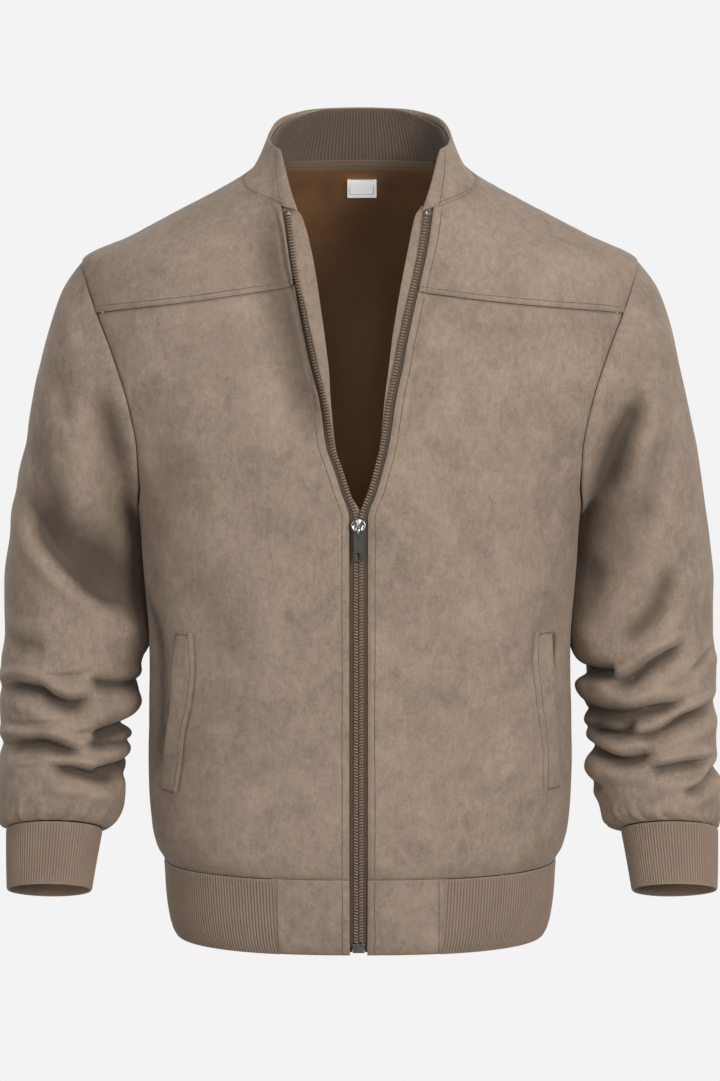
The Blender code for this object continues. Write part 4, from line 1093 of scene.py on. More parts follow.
def rib_tree():
    """Raises rounded ribs from a plain knit band and notes how deep in a groove each point lies."""
    tree = Tree("Rib knit")
    raise_by = tree.ask("Rib height", "NodeSocketFloat")
    shown = tree.field("knit", "FLOAT")
    crest = tree.field("rib", "FLOAT").math("COSINE").math("MULTIPLY_ADD", 0.5, 0.5) ** 0.6
    values = {0: tree.add("GeometryNodeInputNormal", {}, {}), "Scale": crest * shown * raise_by}
    offset = tree.add("ShaderNodeVectorMath", {"operation": "SCALE"}, values)
    moved = tree.add("GeometryNodeSetPosition", {}, {"Geometry": tree.geometry, "Offset": offset})
    values = {"Geometry": moved, "Name": "groove", "Value": (1.0 - crest) * shown}
    tree.finish(tree.add("GeometryNodeStoreNamedAttribute", {"data_type": "FLOAT", "domain": "POINT"}, values))


def run_tree(thing, name, look, **inputs):
    """Runs a tree on an object, keeps its result as a plain mesh, and drops the tree's modifier."""
    group = bpy.data.node_groups[name]
    inputs["material"] = bpy.data.materials[look]
    modifier = thing.modifiers.new(group.name, "NODES")
    modifier.node_group = group
    for item in group.interface.items_tree:
        word = item.name.lower().replace(" ", "_")
        if item.in_out == "INPUT" and word in inputs:
            modifier[item.identifier] = inputs[word]
    bpy.context.view_layer.update()
    evaluated = thing.evaluated_get(bpy.context.evaluated_depsgraph_get())
    mesh = bpy.data.meshes.new_from_object(evaluated)
    thing.modifiers.remove(modifier)
    mesh.name = thing.name
    thing.data = mesh
    return thing


def tube_faces(rings, sides):
    """Faces of a closed tube of rings."""
    faces = []
    for start in range(0, (rings - 1) * sides, sides):
        for k in range(sides):
            here, beside = start + k, start + (k + 1) % sides
            faces.append((here, beside, beside + sides, here + sides))
    faces.append(tuple(range(sides))[::-1])
    faces.append(tuple(range((rings - 1) * sides, rings * sides)))
    return faces


def small_shape(name, rings, sides=6):
    """A short closed shape along X, from rings of (place, half width, half height), kept out of the render."""
    turns = [2 * math.pi * (k + 0.5) / sides for k in range(sides)]
    points = [(x * MM, wide * MM * math.cos(t), high * MM * math.sin(t)) for x, wide, high in rings for t in turns]
    mesh = bpy.data.meshes.new(name)
    mesh.from_pydata(points, [], tube_faces(len(rings), sides))
    face_out(mesh)
    return bpy.data.objects.new(name, mesh)


def repeated(name, places, along, out, shape, look, size=1.0, wander=0.0):
    """A joined mesh of one shape at many places, in millimetres."""
    mesh = bpy.data.meshes.new(name)
    mesh.from_pydata((np.asarray(places) * MM).tolist(), [], [])
    for title, vectors in (("along", along), ("out", out)):
        field = mesh.attributes.new(title, "FLOAT_VECTOR", "POINT")
        field.data.foreach_set("vector", np.asarray(vectors, np.float32).ravel())
    thing = add_object(name, mesh)
    bpy.context.scene.collection.objects.link(shape)
    run_tree(thing, "Repeat along a seam", look, shape=shape, size=size, wander=wander)
    bpy.data.objects.remove(shape)
    thing.data.shade_smooth()
    finish_piece(name, thing, solid=False)


def ribbed_band(name, grid, ribs, side=0, out=0.0, facing=1, darkness=0.0):
    """A band of rib knit on a grid that goes round in six columns a rib, with a plain inside.

    A side makes it a closed tube, which stands on that side.
    """
    closed = side != 0
    normal = outward(grid, closed, facing)
    rows, columns = grid.shape[:2]
    outer = inset(grid + (out - 0.35) * normal, SEAM_GAP / 2, closed)
    inner = inset(grid + (out - RIB_CLOTH) * normal, 0.5, closed)
    turn = 2 * math.pi * ribs * np.arange(columns) / (columns if closed else columns - 1)
    drop = np.linalg.norm(np.diff(grid, axis=0), axis=-1)
    drop = np.concatenate([np.zeros((1, columns)), np.cumsum(drop, 0)])
    values = {"rib": turn[None], "course": drop}
    band = wall_object(name, outer, inner, ("rib knit",), closed, side or 1, (1, RIB_COLUMNS), values)
    shown = np.zeros(len(band.data.vertices))
    shown[: rows * columns] = np.minimum(1, 0.25 + np.minimum(drop, drop[-1] - drop) / 2.5).ravel()
    set_values(band.data, "knit", shown)
    run_tree(band, "Rib knit", "rib knit", rib_height=RIB_HEIGHT * MM)
    band.data.set_sharp_from_angle(angle=math.radians(SHARP_RIB))
    # The band's painted shade, which its finish reads.
    if darkness:
        set_values(band.data, "shade", np.full(len(band.data.vertices), darkness))
    note_cut(grid, closed)
    finish_piece(name, band)


def body_crease(grid):
    """How deep in a crease each point of the body lies, as a share, which the suede's finish paints as shade."""
    x, y, z = np.moveaxis(grid, -1, 0)
    return np.where(y < 0, crease_push(x, z, BODY_CREASES)[0], crease_push(x, z, BACK_CREASES)[0]) / CREASE_FULL


def welt_rows(side_name, rows):
    """A welt's heights, and the distances of its stitched edge and its opening edge, at rows of its table."""
    return (read_row(WELTS[side_name], column, rows) for column in ("height", "stitched", "opening"))


def pocket_shade(side_name, grid):
    """Painted shade on a front along the open edge of its welt, where the pocket gapes."""
    heights, _, opening = welt_rows(side_name, np.arange(len(WELTS[side_name]), dtype=float)[::-1])
    edge = np.interp(grid[..., 2], heights, opening)
    gape = smooth_step(heights[0] + 4, heights[0] + 30, grid[..., 2])
    gape = gape * smooth_step(-heights[-1], 6 - heights[-1], -grid[..., 2])
    return 1.3 * gape * bell(SIDES[side_name] * grid[..., 0] - edge, 1.9, 0.6)


def on_body(places):
    """Points of the body at pairs of angle and height."""
    return body_surface(places[..., 0], places[..., 1])


def even_line(places, shares):
    """Pairs of angle and height at shares of the way along a line of such pairs."""
    passed = run_along(on_body(places))
    return points_at(shares * passed[-1], passed, places)


def make_front_panel(side_name, cells):
    """The front below its yoke, from the zip to the armhole and the side seam."""
    side = SIDES[side_name]
    shares = edge_shares(cells, 150)
    seam = yoke_line(side_name, shares)
    arm = armhole_stations(side_name, np.linspace(YOKE_TURN, 180, 61))
    down = np.linspace((side * SIDE_SEAM, UNDERARM_HEIGHT), (side * SIDE_SEAM, HEM_SEAM_HEIGHT), 101)
    outer = np.concatenate([arm[:-1], down])
    passed = np.abs(outer[:, 1] - outer[0, 1]) / (outer[0, 1] - HEM_SEAM_HEIGHT)
    at = edge_shares(2 * cells, 450)
    outer = points_at(at, passed, outer)
    front = zip_side(side_name, seam[0, 1] + at * (HEM_SEAM_HEIGHT - seam[0, 1]))
    hem = front[-1] + shares[:, None] * (outer[-1] - front[-1])
    grid = bumpy(on_body(blend_rows(hem, seam, front[::-1], outer[::-1], shares, 1 - at[::-1])), 0.9)
    under_yoke = 1 - smooth_step(0, 5, np.linalg.norm(grid - grid[-1:], axis=-1))
    # Painted shade in the creases and along the pocket's open edge.
    dark = body_crease(grid) + pocket_shade(side_name, grid)
    suede_panel(f"front_{side_name}", grid, dark, -0.8 * under_yoke)


def make_yoke_panel(side_name, cells):
    """The front yoke, from its lapped seam up to the neck and the shoulder seam."""
    side = SIDES[side_name]
    shares = edge_shares(cells, 150)
    seam = yoke_line(side_name, shares)
    arm = armhole_stations(side_name, np.linspace(YOKE_TURN, 0, 31))
    neck_corner = (side * SIDE_SEAM, float(neck_height(SIDE_SEAM)))
    shoulder = np.linspace((side * SIDE_SEAM, SHOULDER_TIP_HEIGHT), neck_corner, 31)
    at = edge_shares(cells + 20, 190)
    outer = even_line(np.concatenate([arm[:-1], shoulder]), at)
    angles = neck_angles(side_name, shares)
    neck = np.stack([angles, neck_height(angles)], -1)
    front = zip_side(side_name, seam[0, 1] + at * (neck[0, 1] - seam[0, 1]))
    front[-1] = neck[0]
    grid = bumpy(on_body(blend_rows(seam, neck, front, outer, shares, at)), 0.5)
    lift = YOKE_LAP * (1 - smooth_step(0, 9, np.linalg.norm(grid - grid[:1], axis=-1)))
    suede_panel(f"yoke_{side_name}", grid, body_crease(grid), lift)


def back_outline(cells, rows):
    """The back's patch of angles and heights, from the right side round to the left."""
    shares = edge_shares(cells, 480)
    at = edge_shares(rows, 620)
    angles = SIDE_SEAM + shares * (360 - 2 * SIDE_SEAM)
    hem = np.stack([angles, np.full(len(angles), HEM_SEAM_HEIGHT)], -1)
    neck = np.stack([angles, neck_height(angles)], -1)
    edges = []
    for side_name, seam in (("right", SIDE_SEAM), ("left", -SIDE_SEAM)):
        up_side = np.linspace((seam, HEM_SEAM_HEIGHT), (seam, UNDERARM_HEIGHT), 61)
        arm = armhole_stations(side_name, np.linspace(180, 360, 81)[1:-1])
        shoulder = np.linspace((seam, SHOULDER_TIP_HEIGHT), (seam, neck[0, 1]), 31)
        edges.append(even_line(np.concatenate([up_side, arm, shoulder]), at))
    right, left = edges
    return blend_rows(hem, neck, right, left + np.array((360.0, 0.0)), shares, at)


def make_back_panel(cells, rows):
    grid = bumpy(on_body(back_outline(cells, rows)), 0.9)
    suede_panel("back", grid, body_crease(grid))


def make_lining(cells, rows):
    """The back's lining, which hangs a little inside the back with its own soft drag lines."""
    grid = on_body(back_outline(cells, rows))
    normal = outward(grid)
    drag = np.sin(grid[..., 0] / 17 + 1.5 * np.sin(grid[..., 2] / 90)) * smooth_step(0, 40, edge_distance(grid))
    lift = 0.42 * drag - 0.6 - LINING_DEPTH
    outer, inner = (inset(grid + out[..., None] * normal, 4.0) for out in (lift, lift - LINING))
    thing = wall_object("lining_back", outer, inner, ("lining",))
    note_cut(outer)
    finish_piece("lining_back", thing)


def make_sleeve_tube(side_name, columns, upper_rows, lower_rows):
    """A sleeve of one tube, from the armhole to the gathered end above the cuff."""
    turns = np.arange(columns) * 360 / columns
    upper = np.concatenate([(0, 0.025, 0.06, 0.12), np.linspace(0.2, 8, upper_rows - 4, endpoint=False)])
    lower = np.concatenate([np.linspace(8, 15.4, lower_rows - 5), (15.55, 15.7, 15.82, 15.92, 16.0)])
    grid, push = sleeve_surface(side_name)(turns[None], np.concatenate([upper, lower])[:, None])
    side = SIDES[side_name]
    suede_panel(f"sleeve_{side_name}", grid, push / CREASE_FULL, roll=1.1, side=side)


def make_cuff_rib(side_name, ribs):
    turns = np.arange(RIB_COLUMNS * ribs) * 360 / RIB_COLUMNS / ribs
    drop = np.concatenate([(0, 0.02, 0.05), np.linspace(0.1, 0.9, 9), (0.94, 0.97, 0.985, 1)])
    grid = cuff_surface(side_name)(turns[None], drop[:, None])
    wave = 0.5 * np.sin(np.radians(3 * turns + 40))[None] * np.sin(drop * 2.4)[:, None]
    grid = grid + wave[..., None] * outward(grid, True)
    ribbed_band(f"cuff_{side_name}", grid, ribs, SIDES[side_name])


def make_hem_rib(ribs):
    right = float(angle_at(HEM_TAB_END, HEM_SEAM_HEIGHT))
    left = 360 + float(angle_at(-HEM_TAB_END, HEM_SEAM_HEIGHT))
    angles = np.linspace(right, left, RIB_COLUMNS * ribs + 1)
    passed = run_along(body_surface(angles, np.full(len(angles), -620.0)))
    angles = np.interp(np.linspace(0, passed[-1], len(angles)), passed, angles)
    share = np.concatenate([(0, 0.02, 0.05), np.linspace(0.1, 0.92, 9), (0.96, 0.985, 1)])
    heights = HEM_EDGE_HEIGHT + share * (HEM_SEAM_HEIGHT - 0.5 - HEM_EDGE_HEIGHT)
    grid = body_surface(angles[None], heights[:, None])
    ribbed_band("hem_rib", grid, ribs)


def make_hem_tab(side_name, cells):
    side = SIDES[side_name]
    start = float(front_edge_angle(side_name, HEM_SEAM_HEIGHT))
    end = float(angle_at(side * HEM_TAB_END, HEM_SEAM_HEIGHT))
    angles = start + edge_shares(cells, 60) * (end + HEM_TAB_UNDERLAP * side - start)
    heights = HEM_EDGE_HEIGHT + edge_shares(cells, 65) * (HEM_SEAM_HEIGHT - HEM_EDGE_HEIGHT)
    grid = body_surface(angles[None], heights[:, None])
    cloud = 0.25 * np.sin(grid[..., 0] / 5.3 + grid[..., 2] / 9) * smooth_step(0, 9, edge_distance(grid))
    suede_panel(f"hem_tab_{side_name}", grid, lift=0.3 + cloud)


def make_collar_shell(cells, rows):
    """The collar's suede outside, with its stitched edge and seam drawn in."""
    angles = COLLAR_FRONT_ANGLE + edge_shares(cells, 420) * (360 - 2 * COLLAR_FRONT_ANGLE)
    rises = edge_shares(rows, 60)
    grid = collar_surface(angles[None], rises[:, None])
    apart = edge_distance(grid)
    from_front = folded_angle(angles) - COLLAR_FRONT_ANGLE
    wave = 0.35 * np.sin(np.radians(9 * angles))[None] * smooth_step(0, 8, apart)
    wave = wave - 0.8 * bell(from_front, 1.1, COLLAR_STITCH_IN)[None] * smooth_step(0, 6, apart)
    wave = wave - 0.5 * bell(rises, 0.02, COLLAR_STITCH_RISE)[:, None]
    suede_panel("collar_outer", grid, lift=wave, lined=False, roll=0.8)


def make_collar_rib(ribs):
    """The collar's rib inside, behind the strip of suede that its front edges turn in."""
    ends = (COLLAR_FRONT_ANGLE + COLLAR_TURNED_IN, 360 - COLLAR_FRONT_ANGLE - COLLAR_TURNED_IN)
    angles = np.linspace(*ends, RIB_COLUMNS * ribs + 1)
    rises = np.concatenate([(0.0, 0.03, 0.08), np.linspace(0.17, 0.86, 9), (0.92, 0.955, 0.98, 0.995)])
    top = 0.86 + 0.135 * smooth_step(100, 150, folded_angle(angles))
    top = top - 0.28 * smooth_step(62, 43, folded_angle(angles))
    grid = collar_inside(angles[None], rises[:, None] * top[None])
    out = SUEDE + COLLAR_LAYER_GAP + RIB_CLOTH
    ribbed_band("collar_rib", grid, ribs, out=out, facing=-1, darkness=COLLAR_RIB_SHADE)


def make_collar_turning(side_name):
    """The strip of the collar's suede that turns in along its front edge."""
    at = np.linspace(0, len(COLLAR_TURNING) - 1, 90)
    shares = edge_shares(20, 12)[:, None]
    edges = [read_row(COLLAR_TURNING, column, at) for column in ("edge_angle", "edge_rise", "angle", "rise")]
    angles, rises = (edges[k] * (1 - shares) + edges[k + 2] * shares for k in (0, 1))
    grid = collar_surface(angles if side_name == "right" else 360 - angles, rises)
    shown = 0.7 * bell(edge_distance(grid), 1.2) - 3.1
    looks = ("faux suede", "suede", "folded", ["collar_outer"])
    more = {"solid": False, "values": {"crease": 0.0}}
    thin_piece(f"collar_turning_{side_name}", grid, outward(grid), shown, -1.75, *looks, **more)


def make_neck_band():
    angles = 90 + NECK_TAPE_END + edge_shares(60, 200) * (180 - 2 * NECK_TAPE_END)
    drops = -6.3 + edge_shares(14, NECK_TAPE_WIDTH) * (NECK_TAPE_WIDTH + 0.6)
    heights = neck_height(angles)[None] + drops[:, None]
    grid = body_surface(angles[None], np.minimum(heights, 3.3))
    grid[..., 2] = heights
    normal = unit(outward(grid) * (1, 1, 0))
    shown = 0.3 * bell(edge_distance(grid), 0.7) - LINING - NECK_TAPE_DEPTH
    looks = ("neck tape", "zip_tape", "laid", ["lining_back"], 0.15)
    thin_piece("neck_tape", grid, normal, shown, -NECK_TAPE_DEPTH, *looks)


def make_blank_label():
    across = LABEL_WIDTH / 2 - edge_shares(30, LABEL_WIDTH) * LABEL_WIDTH - LABEL_OFFSET
    heights = LABEL_TOP - LABEL_HEIGHT + edge_shares(20, LABEL_HEIGHT) * LABEL_HEIGHT
    grid = back_surface(across[None], heights[:, None])
    curl = 0.35 * bell(edge_distance(grid), 1.0) + 0.15 * np.sin(grid[..., 0] / 4)
    shown = curl - LINING - LABEL_DEPTH
    looks = ("blank label", "label", "laid", ["lining_back", "neck_tape"], 0.15)
    thin_piece("label", grid, outward(grid), shown, -LABEL_DEPTH, *looks)


def make_facing_strip(side_name):
    """The suede strip behind a front's zip, which shows inside the opening."""
    heights = HEM_EDGE_HEIGHT + 1.5 + edge_shares(240, 617) * (NECK_FRONT_HEIGHT + 1.0 - HEM_EDGE_HEIGHT)
    teeth = read(OPENING, side_name, heights)
    shown = teeth - read(OPENING, "facing_" + side_name, heights)
    shares = edge_shares(20, 44)
    across = shown[:, None] + shares[None] * (teeth + FACING_WIDTH - shown)[:, None]
    grid = front_surface(SIDES[side_name] * across, heights[:, None])
    wave = 0.5 * (np.sin(heights / 19) * smooth_step(-300, -200, heights))[:, None] * np.exp(-shares * 3)[None]
    behind_box = 1.3 * smooth_step(638, 643, -heights)[:, None]
    lift = wave - behind_box - TAPE_DEPTH - TAPE - 2 * LAYER_GAP - 0.4
    name = f"facing_{side_name}"
    # The facing gets an even painted shade through its crease value.
    suede_panel(name, grid, FACING_SHADE, lift, roll=0.3, thick=LINING, lined=False)


def make_tape(side_name):
    """A zip tape, a thin woven band whose edge carries the teeth."""
    heights = ZIP_BOTTOM + edge_shares(240, 600) * (ZIP_TOP - ZIP_BOTTOM)
    heights = np.concatenate([(-652.8, -650.0, -646.5, ZIP_BOTTOM - 0.05), heights])
    columns = np.array((0.3, 1.4, 2.6, 3.6, 4.4, 6.0, 8.0, 10.0, ZIP_EDGE_INSET + ZIP_TUCK))
    bead = np.array((0.2, 0.55, 0.7, 0.45, 0.0, 0.0, 0.0, 0.0, 0.0))
    beside_box = np.where(heights < ZIP_BOTTOM - 0.01, 4.8, 0.0)[:, None]
    across = read(OPENING, side_name, heights)[:, None] + beside_box + columns * (1 - beside_box / columns[-1])
    grid = front_surface(SIDES[side_name] * across, heights[:, None])
    shown = (bead - TAPE_DEPTH)[None]
    looks = ("zip tape", "zip_tape", "laid", [f"front_{side_name}"])
    thin_piece(f"zip_tape_{side_name}", grid, outward(grid), shown, -TAPE_DEPTH - TAPE, *looks)


def make_teeth(side_name):
    """The zip's teeth on one side: apart and straight above the slider, slanted and meshed below it."""
    side = SIDES[side_name]
    heights = [ZIP_BOTTOM + 0.6 + (0.0 if side < 0 else TOOTH_PITCH / 2)]
    while heights[-1] < ZIP_TOP - 1:
        slope = abs(float(read(OPENING, side_name, heights[-1] + 1) - read(OPENING, side_name, heights[-1])))
        heights.append(heights[-1] + TOOTH_PITCH / math.hypot(1, slope))
    heights = np.array([height for height in heights if not SLIDER_SPAN[0] < height < SLIDER_SPAN[1]])
    closed = heights < SLIDER_HEIGHT
    teeth = read(OPENING, side_name, heights)
    across = side * (teeth + np.where(closed, 1.9, 2.1))
    here = front_surface(across, heights)
    beyond = front_surface(across + side, heights)
    above = front_surface(across + side * (read(OPENING, side_name, heights + 1) - teeth), heights + 1)
    up = above - here
    normal = unit(np.cross(side * (beyond - here), up))
    square = unit(np.cross(up, normal) * side)
    along = square + np.where(closed, 0.34, 0.0)[:, None] * unit(up)
    places = here + (0.9 - TAPE_DEPTH) * normal
    rings = ((-1.95, 0.55, 0.5), (-1.6, 0.8, 0.85), (0.2, 0.72, 0.95), (1.5, 0.72, 0.8), (1.9, 0.5, 0.5))
    shape = small_shape("tooth", rings)
    repeated(f"zip_teeth_{side_name}", places, along, normal, shape, "zip teeth")


def make_stop(side_name):
    """A small pressed metal clip above the last tooth."""
    heights = ZIP_TOP + 0.2 + np.linspace(0, 3.2, 7)
    across = read(OPENING, side_name, heights)[:, None] + np.linspace(0.3, 3.6, 7)
    grid = front_surface(SIDES[side_name] * across, heights[:, None])
    shown = -0.3 - 0.7 * bell(edge_distance(grid), 0.6)
    hidden = -TAPE_DEPTH + LAYER_GAP - 0.9
    thin_piece(f"zip_stop_{side_name}", grid, outward(grid), shown, hidden, "dark nickel", "metal")


def bent_bar(points, wide, deep, sides=10):
    """A mesh of a rounded bar that follows a path."""
    points = np.array(points, float)
    across = np.array((1.0, 0.0, 0.0))
    rings = []
    for point, way in zip(points, unit(np.gradient(points, axis=0))):
        up = np.cross(way, across)
        for turn in (2 * math.pi * k / sides for k in range(sides)):
            rings.append(point + wide / 2 * math.cos(turn) * across + deep / 2 * math.sin(turn) * up)
    mesh = bpy.data.meshes.new("bridge")
    mesh.from_pydata((np.array(rings) * MM).tolist(), [], tube_faces(len(points), sides))
    return mesh


def make_slider():
    """The zip's slider: a domed plate with a round crown and waisted foot, and a bridge that holds the pull."""
    low, high = (np.array(corner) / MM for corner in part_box("zip_slider"))
    middle, half = (low[0] + high[0]) / 2, (high[0] - low[0]) / 2
    back, top, bottom = high[1], high[2], low[2]
    plate = back - 3.0
    levels = np.linspace(0, 1, 25)
    outline = half * np.sqrt(np.clip(1 - ((levels - 0.34) / 0.345).clip(-1, 0) ** 2, 0.0, 1))
    outline = outline * (1 - 0.34 * smooth_step(0.34, 0.72, levels)) * (1 - 0.12 * smooth_step(0.93, 1, levels))
    rounds = np.linspace(-1, 1, 19)
    across = np.maximum(outline, 1.2)[:, None] * rounds[None]
    height = (top - levels * (top - bottom))[:, None] + 0 * across
    dome = 1.43 * np.sqrt(np.clip(1 - rounds**2, 0, 1))[None] * (0.35 + 0.65 * bell(levels, 0.42, 0.3))[:, None]
    dent = 1.5 * bell(np.abs(rounds), 0.2, 0.52)[None] * bell(levels, 0.17, 0.3)[:, None]
    shell = np.stack([middle + across, plate - dome + dent, height], -1)
    under = np.stack([middle + across * 0.93, back - 0.05 + 0 * across, height], -1)
    body = wall_object("zip_slider", shell[::-1], under[::-1], ("dark nickel",))
    arch = np.linspace(0, math.pi, 15)
    path = [(middle, plate - 0.9 - 2.6 * math.sin(t) ** 0.6, -301 + 4.1 * math.cos(t)) for t in arch]
    face_out(body.data, bent_bar(path, 2.6, 1.1))
    finish_piece("zip_slider", body)


def make_welt(side_name):
    last = len(WELTS[side_name]) - 1
    rows = edge_shares(90, 140) * last
    heights, stitched, opening = welt_rows(side_name, rows)
    shares = edge_shares(18, 15)
    across = stitched[:, None] + shares[None] * (opening - stitched)[:, None]
    grid = front_surface(SIDES[side_name] * across, heights[:, None] + 0 * across)
    gape = np.sin(np.pi * np.clip(rows / last, 0, 1))[:, None] * shares[None] ** 2
    rise = smooth_step(0, 0.35, shares)[None]
    lift = 0.75 + 0.9 * rise + 2.2 * gape
    thick = 0.55 + (WELT - 0.55) * rise
    name = f"pocket_welt_{side_name}"
    suede_panel(name, grid, lift=lift, roll=0.3, thick=thick, lined=False)


def laid_on(piece, points):
    """Points in millimetres dropped onto a finished piece, and the way out from the cloth at each."""
    mesh = bpy.data.objects[piece + "_cloth"].data
    tree = BVHTree.FromPolygons([v.co for v in mesh.vertices], [tuple(p.vertices) for p in mesh.polygons])
    found = [tree.find_nearest(Vector(point)) for point in np.asarray(points) * MM]
    return np.array([hit[0] / MM for hit in found]), np.array([hit[1] for hit in found])


def seam_places(piece, points, pitch):
    """Even places for stitches along a line that runs just outside a piece."""
    run = run_along(points)
    count = max(1, round(run[-1] / pitch))
    at = (np.arange(count) + 0.5) / count * run[-1]
    line, ahead, behind = (points_at(at + step, run, points) for step in (0, 0.4, -0.4))
    places, outs = laid_on(piece, line)
    return places - STITCH_SINK * outs, unit(ahead - behind), outs


def lifted(surface, first, second, out):
    """A line of points that stands this far out from a surface of the body."""
    first, second = paired(first, second)
    points = surface(first, second)
    return points + out * unit(points * np.array((1, 1, 0)))


def side_seams(side_name):
    """The sewn lines that show on one side, as the piece that each lies on and a line just outside it."""
    side = SIDES[side_name]
    yoke = YOKE_SEAM[side_name]
    low = np.linspace(HEM_SEAM_HEIGHT + 2, yoke - 4, 200)
    high = np.linspace(yoke + 2, NECK_FRONT_HEIGHT - 4, 60)
    tab = np.linspace(HEM_EDGE_HEIGHT + 1, HEM_SEAM_HEIGHT - 1, 60)
    for piece, heights in (("front", low), ("yoke", high), ("hem_tab", tab)):
        edge = front_edge(side_name, heights) + side * 5.6
        yield f"{piece}_{side_name}", lifted(front_surface, edge, heights, 3)
    end = HEM_TAB_END - (4.4 if side < 0 else 7.6)
    yield f"hem_tab_{side_name}", lifted(front_surface, side * end, tab, 3)
    seam = yoke_line(side_name, np.linspace(0.01, 0.985, 160))
    yield f"yoke_{side_name}", lifted(body_surface, seam[:, 0], seam[:, 1] + 5.5, 4)
    angle = side * (COLLAR_FRONT_ANGLE + COLLAR_STITCH_IN) % 360
    yield "collar_outer", lifted(collar_surface, angle, np.linspace(0.04, 0.95, 40), 3)
    last = len(WELTS[side_name]) - 1
    heights, stitched, _ = welt_rows(side_name, np.linspace(0.03, last - 0.03, 120))
    yield f"pocket_welt_{side_name}", lifted(front_surface, side * (stitched + 1.9), heights, 5)
    yield f"front_{side_name}", lifted(front_surface, side * (stitched - 2.2), heights, 5)
    for row in (0.04, last - 0.04):
        height, start, end = (float(value) for value in welt_rows(side_name, row))
        for drop in (0.0, 1.2):
            bar = np.linspace(start + 1.5, end - 1.0, 16)
            yield f"pocket_welt_{side_name}", lifted(front_surface, side * bar, height - drop, 5)


def middle_seams():
    """The sewn lines that go round the neck and the label."""
    angles = np.linspace(COLLAR_FRONT_ANGLE + 4, 356 - COLLAR_FRONT_ANGLE, 400)
    yield "collar_outer", lifted(collar_surface, angles, COLLAR_STITCH_RISE, 3)
    angles = np.linspace(91 + NECK_TAPE_END, 269 - NECK_TAPE_END, 100)
    for drop in (2.1, -5.1):
        band = lifted(body_surface, angles, neck_height(angles) - 1.5, -NECK_TAPE_DEPTH - 4)
        band[:, 2] = neck_height(angles) + drop
        yield "neck_tape", band
    top, bottom = LABEL_TOP - 1.2, LABEL_TOP - LABEL_HEIGHT + 1.2
    across = np.linspace(1.2, LABEL_WIDTH - 1.2, 30) - LABEL_WIDTH / 2 - LABEL_OFFSET
    heights = np.linspace(top, bottom, 20)
    for x, height in ((across, top), (across, bottom), (across[0], heights), (across[-1], heights)):
        yield "label", lifted(back_surface, x, height - LABEL_STITCH_DROP, -LABEL_DEPTH - 4)


def make_stitching(pitch):
    """All the topstitching as one joined mesh of short stitches a thread."""
    groups = {"suede": [], "white": []}
    for piece, line in (*side_seams("left"), *side_seams("right"), *middle_seams()):
        groups["white" if piece == "label" else "suede"].append(seam_places(piece, line, pitch))
    rings = ((-1.25, 0.1, 0.08), (-0.95, 0.27, 0.26), (0.0, 0.32, 0.36), (0.95, 0.27, 0.26), (1.25, 0.1, 0.08))
    for thread, found in groups.items():
        places, along, outs = (np.concatenate(part) for part in zip(*found))
        size = 1.25 * pitch / 3.1
        shape = small_shape("stitch", rings)
        repeated(f"stitches_{thread}", places, along, outs, shape, f"{thread} thread", size, 0.12)


def dress_node(name, look):
    """Gives a hard part of the frame its finish."""
    for slot in bpy.data.objects[name].material_slots:
        slot.material = bpy.data.materials[look]


def make_studio(brightness):
    """A pale floor that curves up into walls all round, and a roof."""
    profile = [(0.0, 0.0), (2.0, 0.0), (4.0, 0.0)]
    profile += [(4.0 + 2 * math.sin(t), 2 - 2 * math.cos(t)) for t in np.linspace(0.1, math.pi / 2, 12)]
    profile += [(6.0, 5.0), (5.0, 7.0), (0.0, 7.6)]
    sides = 64
    work = bmesh.new()
    rings = []
    for radius, height in profile:
        turns = [0.0] if radius == 0 else [2 * math.pi * k / sides for k in range(sides)]
        points = [(radius * math.cos(t), radius * math.sin(t), height - FLOOR_DEPTH) for t in turns]
        rings.append([work.verts.new(point) for point in points])
    for low, high in zip(rings, rings[1:]):
        for k in range(sides):
            corners = [low[k % len(low)], low[(k + 1) % len(low)], high[(k + 1) % len(high)], high[k % len(high)]]
            work.faces.new(list(dict.fromkeys(corners)))
    mesh = bpy.data.meshes.new("floor and backdrop")
    bmesh.ops.recalc_face_normals(work, faces=work.faces)
    bmesh.ops.reverse_faces(work, faces=work.faces)
    work.to_mesh(mesh)
    work.free()
    mesh.materials.append(backdrop_look("pale backdrop", brightness))
    mesh.shade_smooth()
    floor = add_object("floor_and_backdrop", mesh)
    floor.visible_diffuse = floor.visible_glossy = floor.visible_shadow = False


def aim(thing, place, target):
    """Puts a light or the camera in its place, looking at its target."""
    thing.location = place
    thing.rotation_euler = (Vector(target) - Vector(place)).to_track_quat("-Z", "Y").to_euler()


def add_softbox(name, place, size, power, target=JACKET_MIDDLE, colour=(1, 1, 1)):
    light = bpy.data.lights.new(name, "AREA")
    light.shape = "RECTANGLE"
    light.size, light.size_y = size
    light.energy = power
    light.color = colour
    aim(add_object(name, light), place, target)


def add_camera():
    camera = bpy.data.cameras.new("camera")
    camera.lens = CAMERA_LENS
    camera.sensor_width = 36
    camera.clip_end = 30
    eye = add_object("camera", camera)
    lift = math.radians(CAMERA_RISE)
    aim(eye, CAMERA_TARGET + CAMERA_DISTANCE * Vector((0, -math.cos(lift), math.sin(lift))), CAMERA_TARGET)
    bpy.context.scene.camera = eye


def colour_property(name, description, default):
    return bpy.props.FloatVectorProperty(name=name, description=description, subtype="COLOR", default=default)


def count_property(name, description, default, low, high):
    return bpy.props.IntProperty(name=name, description=description, default=default, min=low, max=high)


